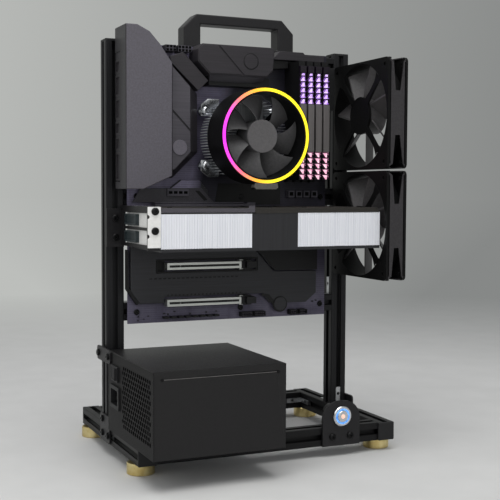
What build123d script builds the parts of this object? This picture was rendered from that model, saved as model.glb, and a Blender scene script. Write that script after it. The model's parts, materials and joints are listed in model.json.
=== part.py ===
from build123d import *
import os
from math import radians, sin, sqrt

# An open air test bench: a frame of slotted aluminium extrusions that carries a dressed
# mainboard upright, with a power supply on its base rails and two side fans.
# X runs to the right, Y away from the front and Z up. The left post's front left edge is
# X 0, Y 0 while the pieces are drawn, and the floor is Z 0.

# Slotted square extrusion
profile = 20.0
profile_corner = 1.2
profile_bore = 4.4
slot_mouth = 6.2
slot_inner = 11.0
slot_floor = 5.0
slot_lip = 1.8
slot_shoulder = 1.5
slot_depth = 6.1

# Frame
frame_width = 300.0
rail_front = 108.5
rail_back = 99.5
post_height = 419.0
cross_rail_drop = 3.0
cap_thickness = 2.5
cap_pin = 4.2
cap_pin_length = 8.0
foot_height = 12.0
foot_diameter = 29.0
foot_front_inset = 20.5
foot_rear_inset = 12.5
foot_counterbore = 9.5
foot_floor = 6.0
connector_leg = 20.0
connector_plate = 2.0
connector_flange = 9.0
connector_neck = 5.8
connector_hole = 3.4
sliding_gap = 0.2

# Screws and slot nuts
screw_radius = 1.95
screw_hole = 2.2
screw_head_radius = 3.8
screw_head_height = 2.3
screw_socket = 1.5
screw_socket_depth = 1.3
screw_below_lip = 3.4
nut_width = 9.0
nut_length = 9.0
nut_thickness = 2.2

# Carrying handle
handle_width = 136.0
handle_height = 39.0
handle_centre = 158.0
handle_bar = 11.0
handle_leg = 20.0
handle_chamfer = 15.0
handle_sill = 4.0
handle_screw_inset = 12.0

# Flat plates that tie the frame
plate_thickness = 2.0
plate_corner = 4.0
join_length = 36.0
join_height = 30.0
join_rise = 5.5
strap_width = 15.0
strap_overlap = 7.0

# Power button on its plate
button_x = 232.0
button_plate_width = 46.0
button_plate_height = 49.0
button_plate_thickness = 3.0
button_plate_round = 20.0
button_height = 32.5
button_screw_spacing = 22.0
button_bezel = 11.0
button_bezel_height = 3.2
button_barrel = 9.4
button_barrel_length = 26.0
button_hole_gap = 0.1
button_ring_radius = 8.6
button_ring_inner = 6.6
button_ring_depth = 1.6
button_cap_radius = 6.2
button_cap_rise = 0.8
button_travel = 2.5
button_seat = 1.0
button_running_gap = 0.1
button_nut_radius = 11.4
button_nut_height = 4.0

# Mainboard
board_width = 244.0
board_height = 305.0
board_thickness = 1.6
board_gap = 1.5
board_hole = 2.0
hole_columns = (10.16, 134.62, 237.49)
hole_rows = (12.7, 139.7, 294.64)
standoff_height = 6.4
standoff_radius = 3.0
standoff_flange = 4.6
standoff_flange_height = 1.2
board_screw_radius = 1.45
board_screw_head = 3.2
board_screw_head_height = 1.8
board_screw_depth = 5.0
screw_pocket = 5.0
screw_pocket_depth = 4.5

# Cover over the board's rear connectors, and the connectors
shroud_overhang = 13.5
shroud_width = 51.5
shroud_depth = 38.5
shroud_wall = 2.0
shroud_bottom = 147.6
shroud_height = 172.0
shroud_step = 14.0
port_depth = 16.0
port_recess = 1.5

# Heatsinks and covers on the board
heatsink_height = 27.0
link_height = 24.0
side_block_height = 16.0
cover_height = 6.0
cover_window = 15.0
cover_window_margin = 11.0
socket_height = 12.0
socket_cell = 4.2
socket_hole = 2.8
socket_floor = 3.0
header_height = 8.5
header_width = 5.5
header_wall = 0.8
header_inset = 2.5

# Memory
memory_pitch = 9.8
memory_first = 193.1
memory_count = 4
memory_bottom = 156.6
memory_slot_length = 138.0
memory_slot_width = 6.6
memory_slot_height = 8.0
memory_length = 133.4
memory_width = 7.8
memory_height = 42.0
memory_seat = 2.0
memory_bar_height = 5.0
memory_key = 1.4
memory_key_gap = 0.1

# Expansion slots
slot_pitch = 20.32
lowest_slot = 22.1
free_slots = (0, 2)
card_slot = 5
slot_left = 42.0
slot_length = 89.0
slot_width = 7.5
slot_height = 11.3
slot_groove = 1.9
slot_groove_depth = 8.0
slot_end = 4.0
latch_offset = 5.0
latch_length = 12.0
latch_width = 7.4
latch_height = 15.0
latch_gap = 0.3
latch_pivot = 4.5
latch_foot = 4.0
latch_cheek = 8.0
latch_pin = 1.0
latch_bore = 1.05
latch_ear = 1.4

# Processor and its cooler
cooler_x = 123.6
cooler_z = 204.2
package_side = 42.0
package_height = 7.0
cooler_base_side = 40.0
cooler_base_height = 6.0
fin_radius = 44.0
fin_thickness = 0.9
fin_pitch = 3.0
fin_height = 38.0
fin_spine = 30.0
mount_x = 39.0
mount_z = 30.0
mount_ear = 6.0
mount_thickness = 1.6
mount_bar = 9.0
mount_screw_head = 4.4
mount_screw_head_height = 3.0
mount_screw_radius = 1.8
mount_screw_top = 20.0
mount_spring_radius = 3.4
mount_pocket = 7.5
cooler_fan_depth = 41.0
cooler_duct = 50.6
cooler_bore = 45.0
cooler_cup_radius = 17.0
cooler_hub_radius = 16.2
cooler_set_back = 10.0
cooler_tab_width = 27.0
cooler_tab_height = 6.1
cooler_tab_depth = 8.0
light_ring_outer = 50.0
light_ring_inner = 45.6
light_ring_height = 2.6

# Graphics card
card_overhang = 1.0
card_length = 249.5
card_front = 112.0
card_board_thickness = 1.6
card_board_clear = 13.0
card_tongue_left = 2.5
card_tongue_depth = 7.4
card_chip_side = 38.0
card_chip_height = 2.3
card_fins_height = 33.0
card_fin_thickness = 1.0
card_fin_pitch = 2.8
card_fins_back = 25.0
card_fins_base = 3.0
card_stack_inset = 0.7
card_left_stack = 98.5
card_right_stack = 99.5
card_stack_gap = 53.3
card_lip = 5.0
card_lip_gap = 0.4
card_pipe = 4.0
card_pipe_gap = 2.0
card_pipe_inset = 8.0
card_pipe_offset = 22.0
card_fan_recess = 14.0
card_shroud_thickness = 3.0
card_shroud_wall = 2.0
card_fan_bore = 43.0
card_cup_radius = 14.0
card_hub_radius = 13.0
card_backplate_gap = 1.2
card_backplate_thickness = 3.2
card_post_radius = 3.0
card_post_inset = 11.0

# Card bracket and the arm that holds it to the left post
bracket_thickness = 1.0
bracket_tab = 12.5
bracket_drop = 35.2
bracket_rise = 5.4
bracket_back = 4.0
port_row_height = 12.0
port_row_pitch = 17.9
port_row_top = 14.5
port_back = 5.0
port_length = 38.0
port_stand = 4.0
arm_thickness = 2.0
arm_foot_height = 42.0
arm_foot_drop = 4.0
arm_skirt = 3.0
arm_window_front = 24.0
arm_window_back = 8.0
arm_window_height = 15.0
arm_screw_spacing = 21.0
tab_screw_spacing = 19.4
tab_screw_drop = 4.5
tab_screw_x = 7.5
tab_notch = 2.0
tab_notch_drop = 9.9

# Fans that blow past the board
side_fan = 120.0
side_fan_depth = 25.0
side_fan_bore = 58.0
side_fan_hole = 105.0
side_fan_gap = 2.5
side_fan_clear = 10.0
side_fan_top = 16.3
fan_flange = 4.0
fan_corner = 5.0
fan_screw_hole = 2.2
fan_screw_radius = 2.0
fan_screw_length = 12.0
fan_strut = 4.0
fan_strut_height = 3.0
fan_cup_radius = 21.0
fan_hub_radius = 20.0
fan_hub_wall = 2.0
fan_tip_gap = 1.5
fan_float = 0.3
fan_shaft = 1.5
fan_shaft_gap = 0.05
fan_bearing = 5.0
fan_shaft_end = 1.0
blade_thickness = 1.6
blade_margin = 0.7

# Power supply
psu_length = 140.0
psu_width = 150.0
psu_height = 86.0
psu_overhang = 4.0
psu_back_gap = 19.0
psu_wall = 1.2
psu_groove_drop = 8.0
psu_groove_depth = 0.5
psu_groove_width = 1.0
psu_groove_inset = 10.0
mesh_hole = 4.4
mesh_pitch_y = 6.45
mesh_pitch_z = 5.03
mesh_columns = 14
mesh_rows = 13
mesh_front = 9.5
mesh_low = 14.4
psu_screw_inset = 6.5
psu_fan_bore = 56.0
guard_rings = 5
guard_pitch = 10.0
guard_wire = 3.0
psu_circuit_drop = 5.0
psu_circuit_thickness = 1.6
psu_circuit_margin = 4.0
psu_post_radius = 2.5
inlet_width = 27.0
inlet_height = 20.0
inlet_depth = 15.0
inlet_wall = 2.0
inlet_y = 28.0
inlet_z = 40.0
inlet_flange = 2.0
pin_side = 2.0
rocker_width = 13.0
rocker_height = 19.0
rocker_depth = 9.0
rocker_z = 65.0
rocker_wall = 1.6
rocker_gap = 0.3
rocker_pin = 1.5
rocker_bore = 1.55
rocker_tilt = 8.0
output_width = 20.0
output_height = 10.0
output_depth = 12.0
output_pitch = 25.0
output_wall = 1.2
output_columns = 5
output_low = 40.0
output_rise = 16.0

# Places that follow from the sizes above
rail_low = foot_height
rail_mid = foot_height + profile / 2
rail_top = foot_height + profile
post_top = rail_top + post_height
right_post = frame_width - profile
post_mid = profile / 2
upper_rail_z = post_top - cross_rail_drop - profile / 2
handle_base = post_top - cross_rail_drop
board_left = profile + board_gap
board_bottom = upper_rail_z - hole_rows[2]
board_back = -standoff_height
board_face = board_back - board_thickness
cooler_axis_x = board_left + cooler_x
cooler_axis_z = board_bottom + cooler_z
psu_left = -psu_overhang
psu_right = psu_left + psu_length
psu_back = -psu_back_gap
psu_front = psu_back - psu_width
psu_bottom = rail_top
psu_top = psu_bottom + psu_height
turn_to = {
    "+X": Rot(0, 90, 0),
    "-X": Rot(0, -90, 0),
    "+Y": Rot(-90, 0, 0),
    "-Y": Rot(90, 0, 0),
    "+Z": Rot(0, 0, 0),
    "-Z": Rot(180, 0, 0),
}
pieces = {}


def block(x, y, z):
    """A box given by its low and high limits along each axis."""
    centre = Pos((x[0] + x[1]) / 2, (y[0] + y[1]) / 2, (z[0] + z[1]) / 2)
    return centre * Box(x[1] - x[0], y[1] - y[0], z[1] - z[0])


def rod(place, direction, radius, low, high):
    """A round bar that runs from low to high along a direction, measured from place."""
    bar = Pos(0, 0, (low + high) / 2) * Cylinder(radius, high - low)
    return Pos(*place) * turn_to[direction] * bar


def slab(points, back, thickness):
    """A plate of an X, Z outline that stands forward of the plane Y = back."""
    outline = Plane.XZ.offset(-back) * Polygon(*points, align=None)
    return extrude(outline, amount=thickness, dir=(0, -1, 0))


def screw(place, direction, length, radius=screw_radius, head=screw_head_radius,
          height=screw_head_height):
    """A button head screw whose head rests at place and points along direction."""
    body = Pos(0, 0, height / 2) * Cylinder(head, height)
    body = chamfer(body.edges().sort_by(Axis.Z)[-1], height * 0.4)
    body += Pos(0, 0, -length / 2) * Cylinder(radius, length)
    socket = extrude(RegularPolygon(screw_socket, 6), amount=-screw_socket_depth)
    body -= Pos(0, 0, height) * socket
    return Pos(*place) * turn_to[direction] * body


def slot_nut(place, direction):
    """A nut that sits under the lips of a slot whose face is at place."""
    nut = Box(nut_length, nut_width, nut_thickness) - Cylinder(screw_radius + 0.1, nut_thickness)
    return Pos(*place) * turn_to[direction] * Pos(0, 0, -slot_lip - nut_thickness / 2) * nut


# Slotted extrusions
half = profile / 2
shoulder = half - slot_lip - slot_shoulder
slot_side = [
    (half + 1, slot_mouth / 2),
    (half - slot_lip, slot_mouth / 2),
    (half - slot_lip, slot_inner / 2),
    (shoulder, slot_inner / 2),
    (half - slot_depth, slot_floor / 2),
]
slot_outline = Polygon(*slot_side, *[(x, -y) for x, y in reversed(slot_side)], align=None)
section = RectangleRounded(profile, profile, profile_corner) - Circle(profile_bore / 2)
for quarter in range(4):
    section -= Rot(0, 0, 90 * quarter) * slot_outline


def rail(direction, place, low, high):
    """A length of extrusion through place, from low to high along a direction."""
    return Pos(*place) * turn_to[direction] * Pos(0, 0, low) * extrude(section, amount=high - low)


post_places = {"left_post": post_mid, "right_post": right_post + post_mid}
for name, x in post_places.items():
    pieces[name] = rail("+Z", (x, post_mid, 0), rail_top, post_top)
front_rail_y = -rail_front + half
rear_rail_y = rail_back - half
base_rails = [rail("+Y", (x, 0, rail_mid), -rail_front, rail_back) for x in post_places.values()]
base_rails += [rail("+X", (0, y, rail_mid), profile, right_post) for y in (front_rail_y, rear_rail_y)]
pieces["base_rails"] = Compound(base_rails)
cross_rail_z = [board_bottom + row for row in hole_rows]
cross_rails = [rail("+X", (0, post_mid, z), profile, right_post) for z in cross_rail_z]
pieces["cross_rails"] = Compound(cross_rails)


# Plastic caps on the open ends of the extrusions
def end_cap(place, direction):
    plate = extrude(RectangleRounded(profile, profile, profile_corner), amount=cap_thickness)
    plate = chamfer(plate.faces().sort_by(Axis.Z)[-1].edges(), profile_corner / 2)
    pin = Pos(0, 0, -cap_pin_length / 2) * Cylinder(cap_pin / 2, cap_pin_length)
    return Pos(*place) * turn_to[direction] * (plate + pin)


caps = [end_cap((x, post_mid, post_top), "+Z") for x in post_places.values()]
caps += [end_cap((x, -rail_front, rail_mid), "-Y") for x in post_places.values()]
caps += [end_cap((x, rail_back, rail_mid), "+Y") for x in post_places.values()]
pieces["end_caps"] = Compound(caps)

# Turned brass feet, each held by a screw from below into the rail's lower slot
screws = []
nuts = []
feet = []
for x in post_places.values():
    for y in (-rail_front + foot_front_inset, rail_back - foot_rear_inset):
        foot = Cylinder(foot_diameter / 2, foot_height)
        foot = chamfer(foot.edges().filter_by(GeomType.CIRCLE), 0.8)
        foot -= Cylinder(screw_hole, foot_height)
        recess = foot_height - foot_floor
        foot -= Pos(0, 0, -foot_floor / 2) * Cylinder(foot_counterbore / 2, recess)
        feet.append(Pos(x, y, foot_height / 2) * foot)
        screws.append(screw((x, y, foot_height - foot_floor), "-Z", foot_floor + screw_below_lip))
        nuts.append(slot_nut((x, y, foot_height), "-Z"))
pieces["feet"] = Compound(feet)


# Steel angle connectors that lie in the slots where two extrusions meet
def connector_bar(length):
    """One leg along +Z in a slot whose face is X = 0, with the slot behind it."""
    low = -slot_lip - sliding_gap
    neck = block((low, 0), (-connector_neck / 2, connector_neck / 2), (0, length))
    wings = block((low - connector_plate, low), (-connector_flange / 2, connector_flange / 2),
                  (slot_lip + sliding_gap, length))
    bore = rod((low - connector_plate, 0, length * 0.6), "+X", connector_hole / 2, -1, 8)
    return neck + wings - bore


def connector(place, along, into):
    """Two legs from an inner corner at place, one along each of two directions."""
    first = connector_bar(connector_leg)
    second = Rot(0, 90, 0) * Rot(0, 0, 180) * connector_bar(connector_leg)
    corner = block((-slot_lip - sliding_gap, 0), (-connector_neck / 2, connector_neck / 2),
                   (-slot_lip - sliding_gap, 0))
    whole = first + second + corner
    turned = Plane(origin=place, x_dir=into, z_dir=along)
    return turned * whole


up = (0, 0, 1)
down = (0, 0, -1)
left = (-1, 0, 0)
right = (1, 0, 0)
front = (0, -1, 0)
back = (0, 1, 0)
connectors = []
for x in post_places.values():
    connectors.append(connector((x, 0, rail_top), up, front))
    connectors.append(connector((x, profile, rail_top), up, back))
for x, side in ((profile, right), (right_post, left)):
    connectors.append(connector((x, rear_rail_y - half, rail_mid), side, front))
    connectors.append(connector((x, front_rail_y + half, rail_mid), side, back))
    connectors.append(connector((x, post_mid, cross_rail_z[0] + half), side, up))
    connectors.append(connector((x, post_mid, cross_rail_z[1] - half), side, down))
    connectors.append(connector((x, post_mid, cross_rail_z[2] - half), side, down))
pieces["slot_connectors"] = Compound(connectors)

# Carrying handle on the upper cross rail, screwed down inside its window
handle_low = handle_centre - handle_width / 2
handle_high = handle_centre + handle_width / 2
handle_top = handle_base + handle_height
handle_points = [
    (handle_low, handle_base),
    (handle_high, handle_base),
    (handle_high, handle_top - handle_chamfer),
    (handle_high - handle_chamfer, handle_top),
    (handle_low + handle_chamfer, handle_top),
    (handle_low, handle_top - handle_chamfer),
]
handle = slab(handle_points, profile, profile)
handle -= block((handle_low + handle_leg, handle_high - handle_leg), (-1, profile + 1),
                (handle_base + handle_sill, handle_top - handle_bar))
for x in (handle_low + handle_leg + handle_screw_inset, handle_high - handle_leg - handle_screw_inset):
    handle -= rod((x, post_mid, handle_base), "+Z", screw_hole, -1, handle_sill + 1)
    screws.append(screw((x, post_mid, handle_base + handle_sill), "+Z", handle_sill + screw_below_lip))
    nuts.append(slot_nut((x, post_mid, handle_base), "+Z"))
pieces["carry_handle"] = handle


# Flat plates across the joints of posts and rails, one on each side of the frame
def side_plate(x, low_y, high_y, low_z, high_z, thickness, corner):
    """A plate with round corners whose inner face is X = x, standing out along thickness."""
    outline = RectangleRounded(high_y - low_y, high_z - low_z, corner)
    centre = Plane(origin=(x, (low_y + high_y) / 2, (low_z + high_z) / 2), x_dir=back, z_dir=right)
    return extrude(centre * outline, amount=thickness)


join_plates = []
join_low = foot_height + join_rise / 4
for x, side, out in ((0, "-X", -1), (frame_width, "+X", 1)):
    plate = side_plate(x, profile - join_length, profile, join_low, join_low + join_height,
                       out * plate_thickness, plate_corner)
    spots = [(post_mid, rail_top + join_rise), (post_mid, rail_mid), (-post_mid, rail_mid)]
    for y, z in spots:
        plate -= rod((x, y, z), side, screw_hole, -1, plate_thickness + 1)
        screws.append(screw((x + out * plate_thickness, y, z), side, plate_thickness + screw_below_lip))
        nuts.append(slot_nut((x, y, z), side))
    join_plates.append(plate)
pieces["join_plates"] = Compound(join_plates)

# Plate that holds the power button in front of the front rail
button_z = rail_low + button_height
plate_outline = [
    (button_x - button_plate_width / 2, rail_low),
    (button_x + button_plate_width / 2, rail_low),
    (button_x + button_plate_width / 2, rail_low + button_plate_height),
    (button_x - button_plate_width / 2, rail_low + button_plate_height),
]
button_plate = slab(plate_outline, -rail_front, button_plate_thickness)
upper_edges = button_plate.edges().filter_by(Axis.Y).group_by(Axis.Z)[-1]
button_plate = fillet(upper_edges, button_plate_round)
button_face = -rail_front - button_plate_thickness
button_place = (button_x, button_face, button_z)
button_plate -= rod(button_place, "-Y", button_barrel + button_hole_gap, -button_plate_thickness - 1, 1)
for x in (button_x - button_screw_spacing / 2, button_x + button_screw_spacing / 2):
    button_plate -= rod((x, button_face, rail_mid), "-Y", screw_hole, -button_plate_thickness - 1, 1)
    screws.append(screw((x, button_face, rail_mid), "-Y", button_plate_thickness + screw_below_lip))
    nuts.append(slot_nut((x, -rail_front, rail_mid), "-Y"))
pieces["button_plate"] = button_plate

# Steel push button: threaded housing, lit ring, sprung cap and the nut behind the plate
bezel = rod(button_place, "-Y", button_bezel, 0, button_bezel_height)
bezel = chamfer(bezel.faces().sort_by(Axis.Y)[0].edges(), 0.8)
housing = bezel + rod(button_place, "-Y", button_barrel, -button_barrel_length, 0)
ring_floor = button_bezel_height - button_ring_depth
housing -= rod(button_place, "-Y", button_ring_radius, ring_floor, button_bezel_height + 1)
cap_floor = button_bezel_height + button_cap_rise - button_travel - button_seat - 6
housing -= rod(button_place, "-Y", button_cap_radius + button_running_gap, cap_floor,
               button_bezel_height)
pieces["button_housing"] = housing
ring = rod(button_place, "-Y", button_ring_radius, ring_floor, button_bezel_height)
ring -= rod(button_place, "-Y", button_ring_inner, ring_floor - 1, button_bezel_height + 1)
pieces["button_light_ring"] = ring
cap_base = cap_floor + button_travel + button_seat
cap = rod(button_place, "-Y", button_cap_radius, cap_base, button_bezel_height + button_cap_rise)
pieces["button_cap"] = chamfer(cap.faces().sort_by(Axis.Y)[0].edges(), 0.4)
button_nut = extrude(RegularPolygon(button_nut_radius, 6), amount=button_nut_height)
button_nut -= Cylinder(button_barrel + button_hole_gap, 4 * button_nut_height)
button_back = (button_x, -rail_front, button_z)
pieces["button_nut"] = Pos(*button_back) * turn_to["+Y"] * button_nut


# Fans: a moulded frame with struts to a motor cup, and a bladed rotor on a shaft
def fan_cup(cup_radius, depth):
    """The motor cup and bearing, with the strut side on Z = 0."""
    bearing_top = depth * 0.6
    cup = Pos(0, 0, fan_strut_height / 2) * Cylinder(cup_radius, fan_strut_height)
    cup += Pos(0, 0, bearing_top / 2) * Cylinder(fan_bearing, bearing_top)
    return cup


def bearing_bore(depth):
    """The hole for a rotor's shaft, open at the top and closed at the strut side."""
    return Pos(0, 0, depth / 2 + fan_shaft_end) * Cylinder(fan_shaft + fan_shaft_gap, depth)


def fan_struts(count, length, turn):
    """Flat arms from the motor cup out to a length."""
    arm = Pos(length / 2, 0, fan_strut_height / 2) * Box(length, fan_strut, fan_strut_height)
    arms = arm
    for index in range(1, count):
        arms += Rot(0, 0, 360 * index / count) * arm
    return Rot(0, 0, turn) * arms


def fan_frame(size, depth, bore, hole_spacing):
    """A square fan frame on the axis Z, from its strut side at Z = 0."""
    flange = extrude(RectangleRounded(size, size, fan_corner), amount=fan_flange)
    frame = flange + Pos(0, 0, depth - fan_flange) * flange
    tube = extrude(Circle(size / 2), amount=depth)
    frame = frame + tube - Pos(0, 0, depth / 2) * Cylinder(bore, depth + 2)
    for x in (-hole_spacing / 2, hole_spacing / 2):
        for y in (-hole_spacing / 2, hole_spacing / 2):
            frame -= Pos(x, y, depth / 2) * Cylinder(fan_screw_hole, depth + 2)
    struts = fan_struts(4, bore + 1, 45)
    cup = fan_cup(fan_cup_radius, depth)
    return frame + struts + cup - bearing_bore(depth)


def fan_rotor(hub_radius, tip_radius, depth, blades, root_pitch, tip_pitch, sweep):
    """A rotor that turns on Z above the motor cup, up to a depth."""
    base = fan_strut_height + fan_float
    hub_height = depth - base
    hub = Pos(0, 0, base + hub_height / 2) * Cylinder(hub_radius, hub_height)
    hub = chamfer(hub.edges().group_by(Axis.Z)[-1], 1.0)
    inside = hub_height - fan_hub_wall
    hub -= Pos(0, 0, base + inside / 2) * Cylinder(hub_radius - fan_hub_wall, inside)
    low_end = fan_shaft_end + fan_float
    top_end = depth - fan_hub_wall
    hub += Pos(0, 0, (low_end + top_end) / 2) * Cylinder(fan_shaft, top_end - low_end)
    root = hub_radius - fan_hub_wall
    chord_room = hub_height - 2 * blade_margin
    middle = base + hub_height / 2
    sections = []
    for radius, pitch, turn in ((root, root_pitch, 0), (tip_radius, tip_pitch, sweep)):
        chord = (chord_room - blade_thickness) / sin(radians(pitch))
        turned = Rot(0, 0, turn) * Plane(origin=(radius, 0, middle), x_dir=(0, 1, 0), z_dir=(1, 0, 0))
        sections.append(turned * Rot(0, 0, pitch) * Rectangle(chord, blade_thickness))
    blade = loft(sections) & Pos(0, 0, middle) * Cylinder(tip_radius, chord_room)
    blade -= Cylinder(hub_radius - fan_hub_wall / 2, 4 * depth)
    rotor = hub
    for index in range(blades):
        rotor += Rot(0, 0, 360 * index / blades) * blade
    return rotor


fan_right = frame_width
fan_left = fan_right - side_fan_depth
fan_mid_y = -side_fan_clear - side_fan / 2
upper_fan_z = post_top - side_fan_top - side_fan / 2
fan_places = {"upper_fan": upper_fan_z, "lower_fan": upper_fan_z - side_fan - side_fan_gap}
straps = []
for name, z in fan_places.items():
    seat = Pos(fan_left, fan_mid_y, z) * turn_to["+X"]
    frame = fan_frame(side_fan, side_fan_depth, side_fan_bore, side_fan_hole)
    pieces[name + "_frame"] = seat * frame
    rotor = fan_rotor(fan_hub_radius, side_fan_bore - fan_tip_gap, side_fan_depth - 1, 7, 48, 30, 18)
    pieces[name + "_rotor"] = seat * rotor
    # Straps on the outer side reach from the post's slot to the fan's rear holes.
    hole_y = fan_mid_y + side_fan_hole / 2
    for hole_z in (z - side_fan_hole / 2, z + side_fan_hole / 2):
        strap = side_plate(fan_right, hole_y - strap_overlap, post_mid + strap_overlap,
                           hole_z - strap_width / 2, hole_z + strap_width / 2, plate_thickness,
                           plate_corner)
        strap -= rod((fan_right, hole_y, hole_z), "+X", fan_screw_hole, -1, plate_thickness + 1)
        strap -= rod((fan_right, post_mid, hole_z), "+X", screw_hole, -1, plate_thickness + 1)
        straps.append(strap)
        face = fan_right + plate_thickness
        screws.append(screw((face, post_mid, hole_z), "+X", plate_thickness + screw_below_lip))
        nuts.append(slot_nut((frame_width, post_mid, hole_z), "+X"))
        screws.append(screw((face, hole_y, hole_z), "+X", fan_screw_length, fan_screw_radius))
pieces["fan_straps"] = Compound(straps)

# Mainboard on brass standoffs in the slots of the cross rails
board = block((board_left, board_left + board_width), (board_face, board_back),
              (board_bottom, board_bottom + board_height))
standoffs = []
board_screws = []
board_holes = []
for column in hole_columns:
    for row in hole_rows:
        x = board_left + column
        z = board_bottom + row
        board_holes.append((x, z))
        board -= rod((x, 0, z), "-Y", board_hole, 0, 2 * standoff_height)
        standoff = rod((x, 0, z), "-Y", standoff_radius, 0, standoff_height)
        standoff += rod((x, 0, z), "-Y", standoff_flange, 0, standoff_flange_height)
        standoff += rod((x, 0, z), "-Y", screw_radius, -screw_below_lip, 0)
        standoff -= rod((x, 0, z), "-Y", board_screw_radius + 0.1, standoff_height - board_screw_depth,
                        standoff_height + 1)
        standoffs.append(standoff)
        nuts.append(slot_nut((x, 0, z), "-Y"))
        board_screws.append(screw((x, board_face, z), "-Y", board_thickness + board_screw_depth - 1,
                                  board_screw_radius, board_screw_head, board_screw_head_height))
mount_holes = []
for i in (-1, 1):
    for j in (-1, 1):
        mount_holes.append((cooler_axis_x + i * mount_x, cooler_axis_z + j * mount_z))
for x, z in mount_holes:
    board -= rod((x, 0, z), "-Y", board_hole, 0, 2 * standoff_height)
pieces["mainboard"] = board
pieces["standoffs"] = Compound(standoffs)
pieces["board_screws"] = Compound(board_screws)


def on_board(points):
    """Points measured from the board's lower left corner, as X and Z."""
    return [(board_left + x, board_bottom + z) for x, z in points]


def clear_screws(piece):
    """Room for the heads of the board's screws under a piece."""
    for x, z in board_holes:
        piece -= rod((x, board_face, z), "-Y", screw_pocket, 0, screw_pocket_depth)
    return piece


# Moulded cover over the rear connectors, open towards the board and at its outer side
shroud_left = -shroud_overhang
shroud_right = shroud_left + shroud_width
shroud_low = shroud_bottom
shroud_high = shroud_bottom + shroud_height
shroud_points = on_board([
    (shroud_left, shroud_low),
    (shroud_left + 20, shroud_low),
    (shroud_right, shroud_low + shroud_step),
    (shroud_right, shroud_high - 38),
    (shroud_right - 13.5, shroud_high - 19),
    (shroud_right - 25, shroud_high - 6.5),
    (shroud_right - 38.5, shroud_high),
    (shroud_left, shroud_high),
])
shroud = slab(shroud_points, board_face, shroud_depth)
inner = offset(Plane.XZ.offset(-board_face) * Polygon(*shroud_points, align=None), -shroud_wall)
shroud -= extrude(inner, amount=shroud_depth - shroud_wall, dir=(0, -1, 0))
port_top = board_bottom + board_height - 12
port_low = board_bottom + shroud_low + 8
port_room = (board_face - port_depth - 1, board_face)
outer_x = board_left - shroud_overhang
shroud -= block((outer_x - 1, outer_x + shroud_wall + 1), port_room, (port_low, port_top))
pieces["io_shroud"] = shroud

# Rear connectors along the board's left edge, each with a shallow mouth
ports = []
port_heights = (30, 14, 14, 22, 22, 14)
port_z = port_low + 1
for height in port_heights:
    port = block((outer_x + 0.5, board_left + 12), (board_face - port_depth, board_face),
                 (port_z, port_z + height))
    port -= block((outer_x, outer_x + 0.5 + port_recess), (board_face - port_depth + 2, board_face - 2),
                  (port_z + 2, port_z + height - 2))
    ports.append(port)
    port_z += height + 2.5
pieces["io_ports"] = Compound(ports)

# Aluminium blocks that cool the supply stages beside and above the processor
left_points = [(41, 168), (54, 170), (62, 185), (62, 260), (41, 284)]
left_block = slab(on_board(left_points), board_face, heatsink_height)
link_points = [(44, 286), (64, 262), (72, 266), (72, 284), (64, 296), (52, 296)]
link_block = slab(on_board(link_points), board_face, link_height)
top_points = [(74, 285), (74, 306), (168, 306), (168, 281), (160, 273), (86, 273)]
top_block = slab(on_board(top_points), board_face, heatsink_height)
side_low = memory_bottom + memory_slot_length + 1.5
side_points = [(169.5, 284), (169.5, 304), (201, 304), (201, side_low), (186, side_low), (180, 284)]
side_block = slab(on_board(side_points), board_face, side_block_height)
heatsinks = [clear_screws(piece) for piece in (left_block, link_block, top_block, side_block)]
pieces["power_heatsinks"] = Compound(heatsinks)

# Power sockets at the board's top left and right edges
power_sockets = []
for x, z, width, height in ((40, 297.5, 12, 7), (54, 297.5, 12, 7), (233, 160, 10, 52)):
    low_x = board_left + x
    low_z = board_bottom + z
    socket = block((low_x, low_x + width), (board_face - socket_height, board_face),
                   (low_z, low_z + height))
    columns = int(width // socket_cell)
    rows = int(height // socket_cell)
    for i in range(columns):
        for j in range(rows):
            hole_x = low_x + (i + 0.5) * width / columns
            hole_z = low_z + (j + 0.5) * height / rows
            socket -= block((hole_x - socket_hole / 2, hole_x + socket_hole / 2),
                            (board_face - socket_height - 1, board_face - socket_floor),
                            (hole_z - socket_hole / 2, hole_z + socket_hole / 2))
    power_sockets.append(socket)

# Memory modules in their slots, with a translucent bar along the front edge of each
memory_slots = []
modules = []
light_bars = []
slot_low = board_bottom + memory_bottom
module_low = slot_low + (memory_slot_length - memory_length) / 2
module_back = board_face - memory_seat
module_front = board_face - memory_height + memory_bar_height
for index in range(memory_count):
    x = board_left + memory_first + index * memory_pitch
    z_span = (slot_low, slot_low + memory_slot_length)
    module_span = (module_low, module_low + memory_length)
    slot = block((x - memory_slot_width / 2, x + memory_slot_width / 2),
                 (board_face - memory_slot_height, board_face), z_span)
    slot -= block((x - memory_key / 2 - memory_key_gap, x + memory_key / 2 + memory_key_gap),
                  (board_face - memory_slot_height - 1, module_back), module_span)
    memory_slots.append(slot)
    module = block((x - memory_width / 2, x + memory_width / 2),
                   (module_front, board_face - memory_slot_height), module_span)
    module += block((x - memory_key / 2, x + memory_key / 2), (module_front, module_back), module_span)
    modules.append(module)
    light_bars.append(block((x - memory_width / 2, x + memory_width / 2),
                            (module_front - memory_bar_height, module_front), module_span))
pieces["memory_slots"] = Compound(memory_slots)
pieces["memory_modules"] = Compound(modules)
pieces["memory_light_bars"] = Compound(light_bars)

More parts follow.
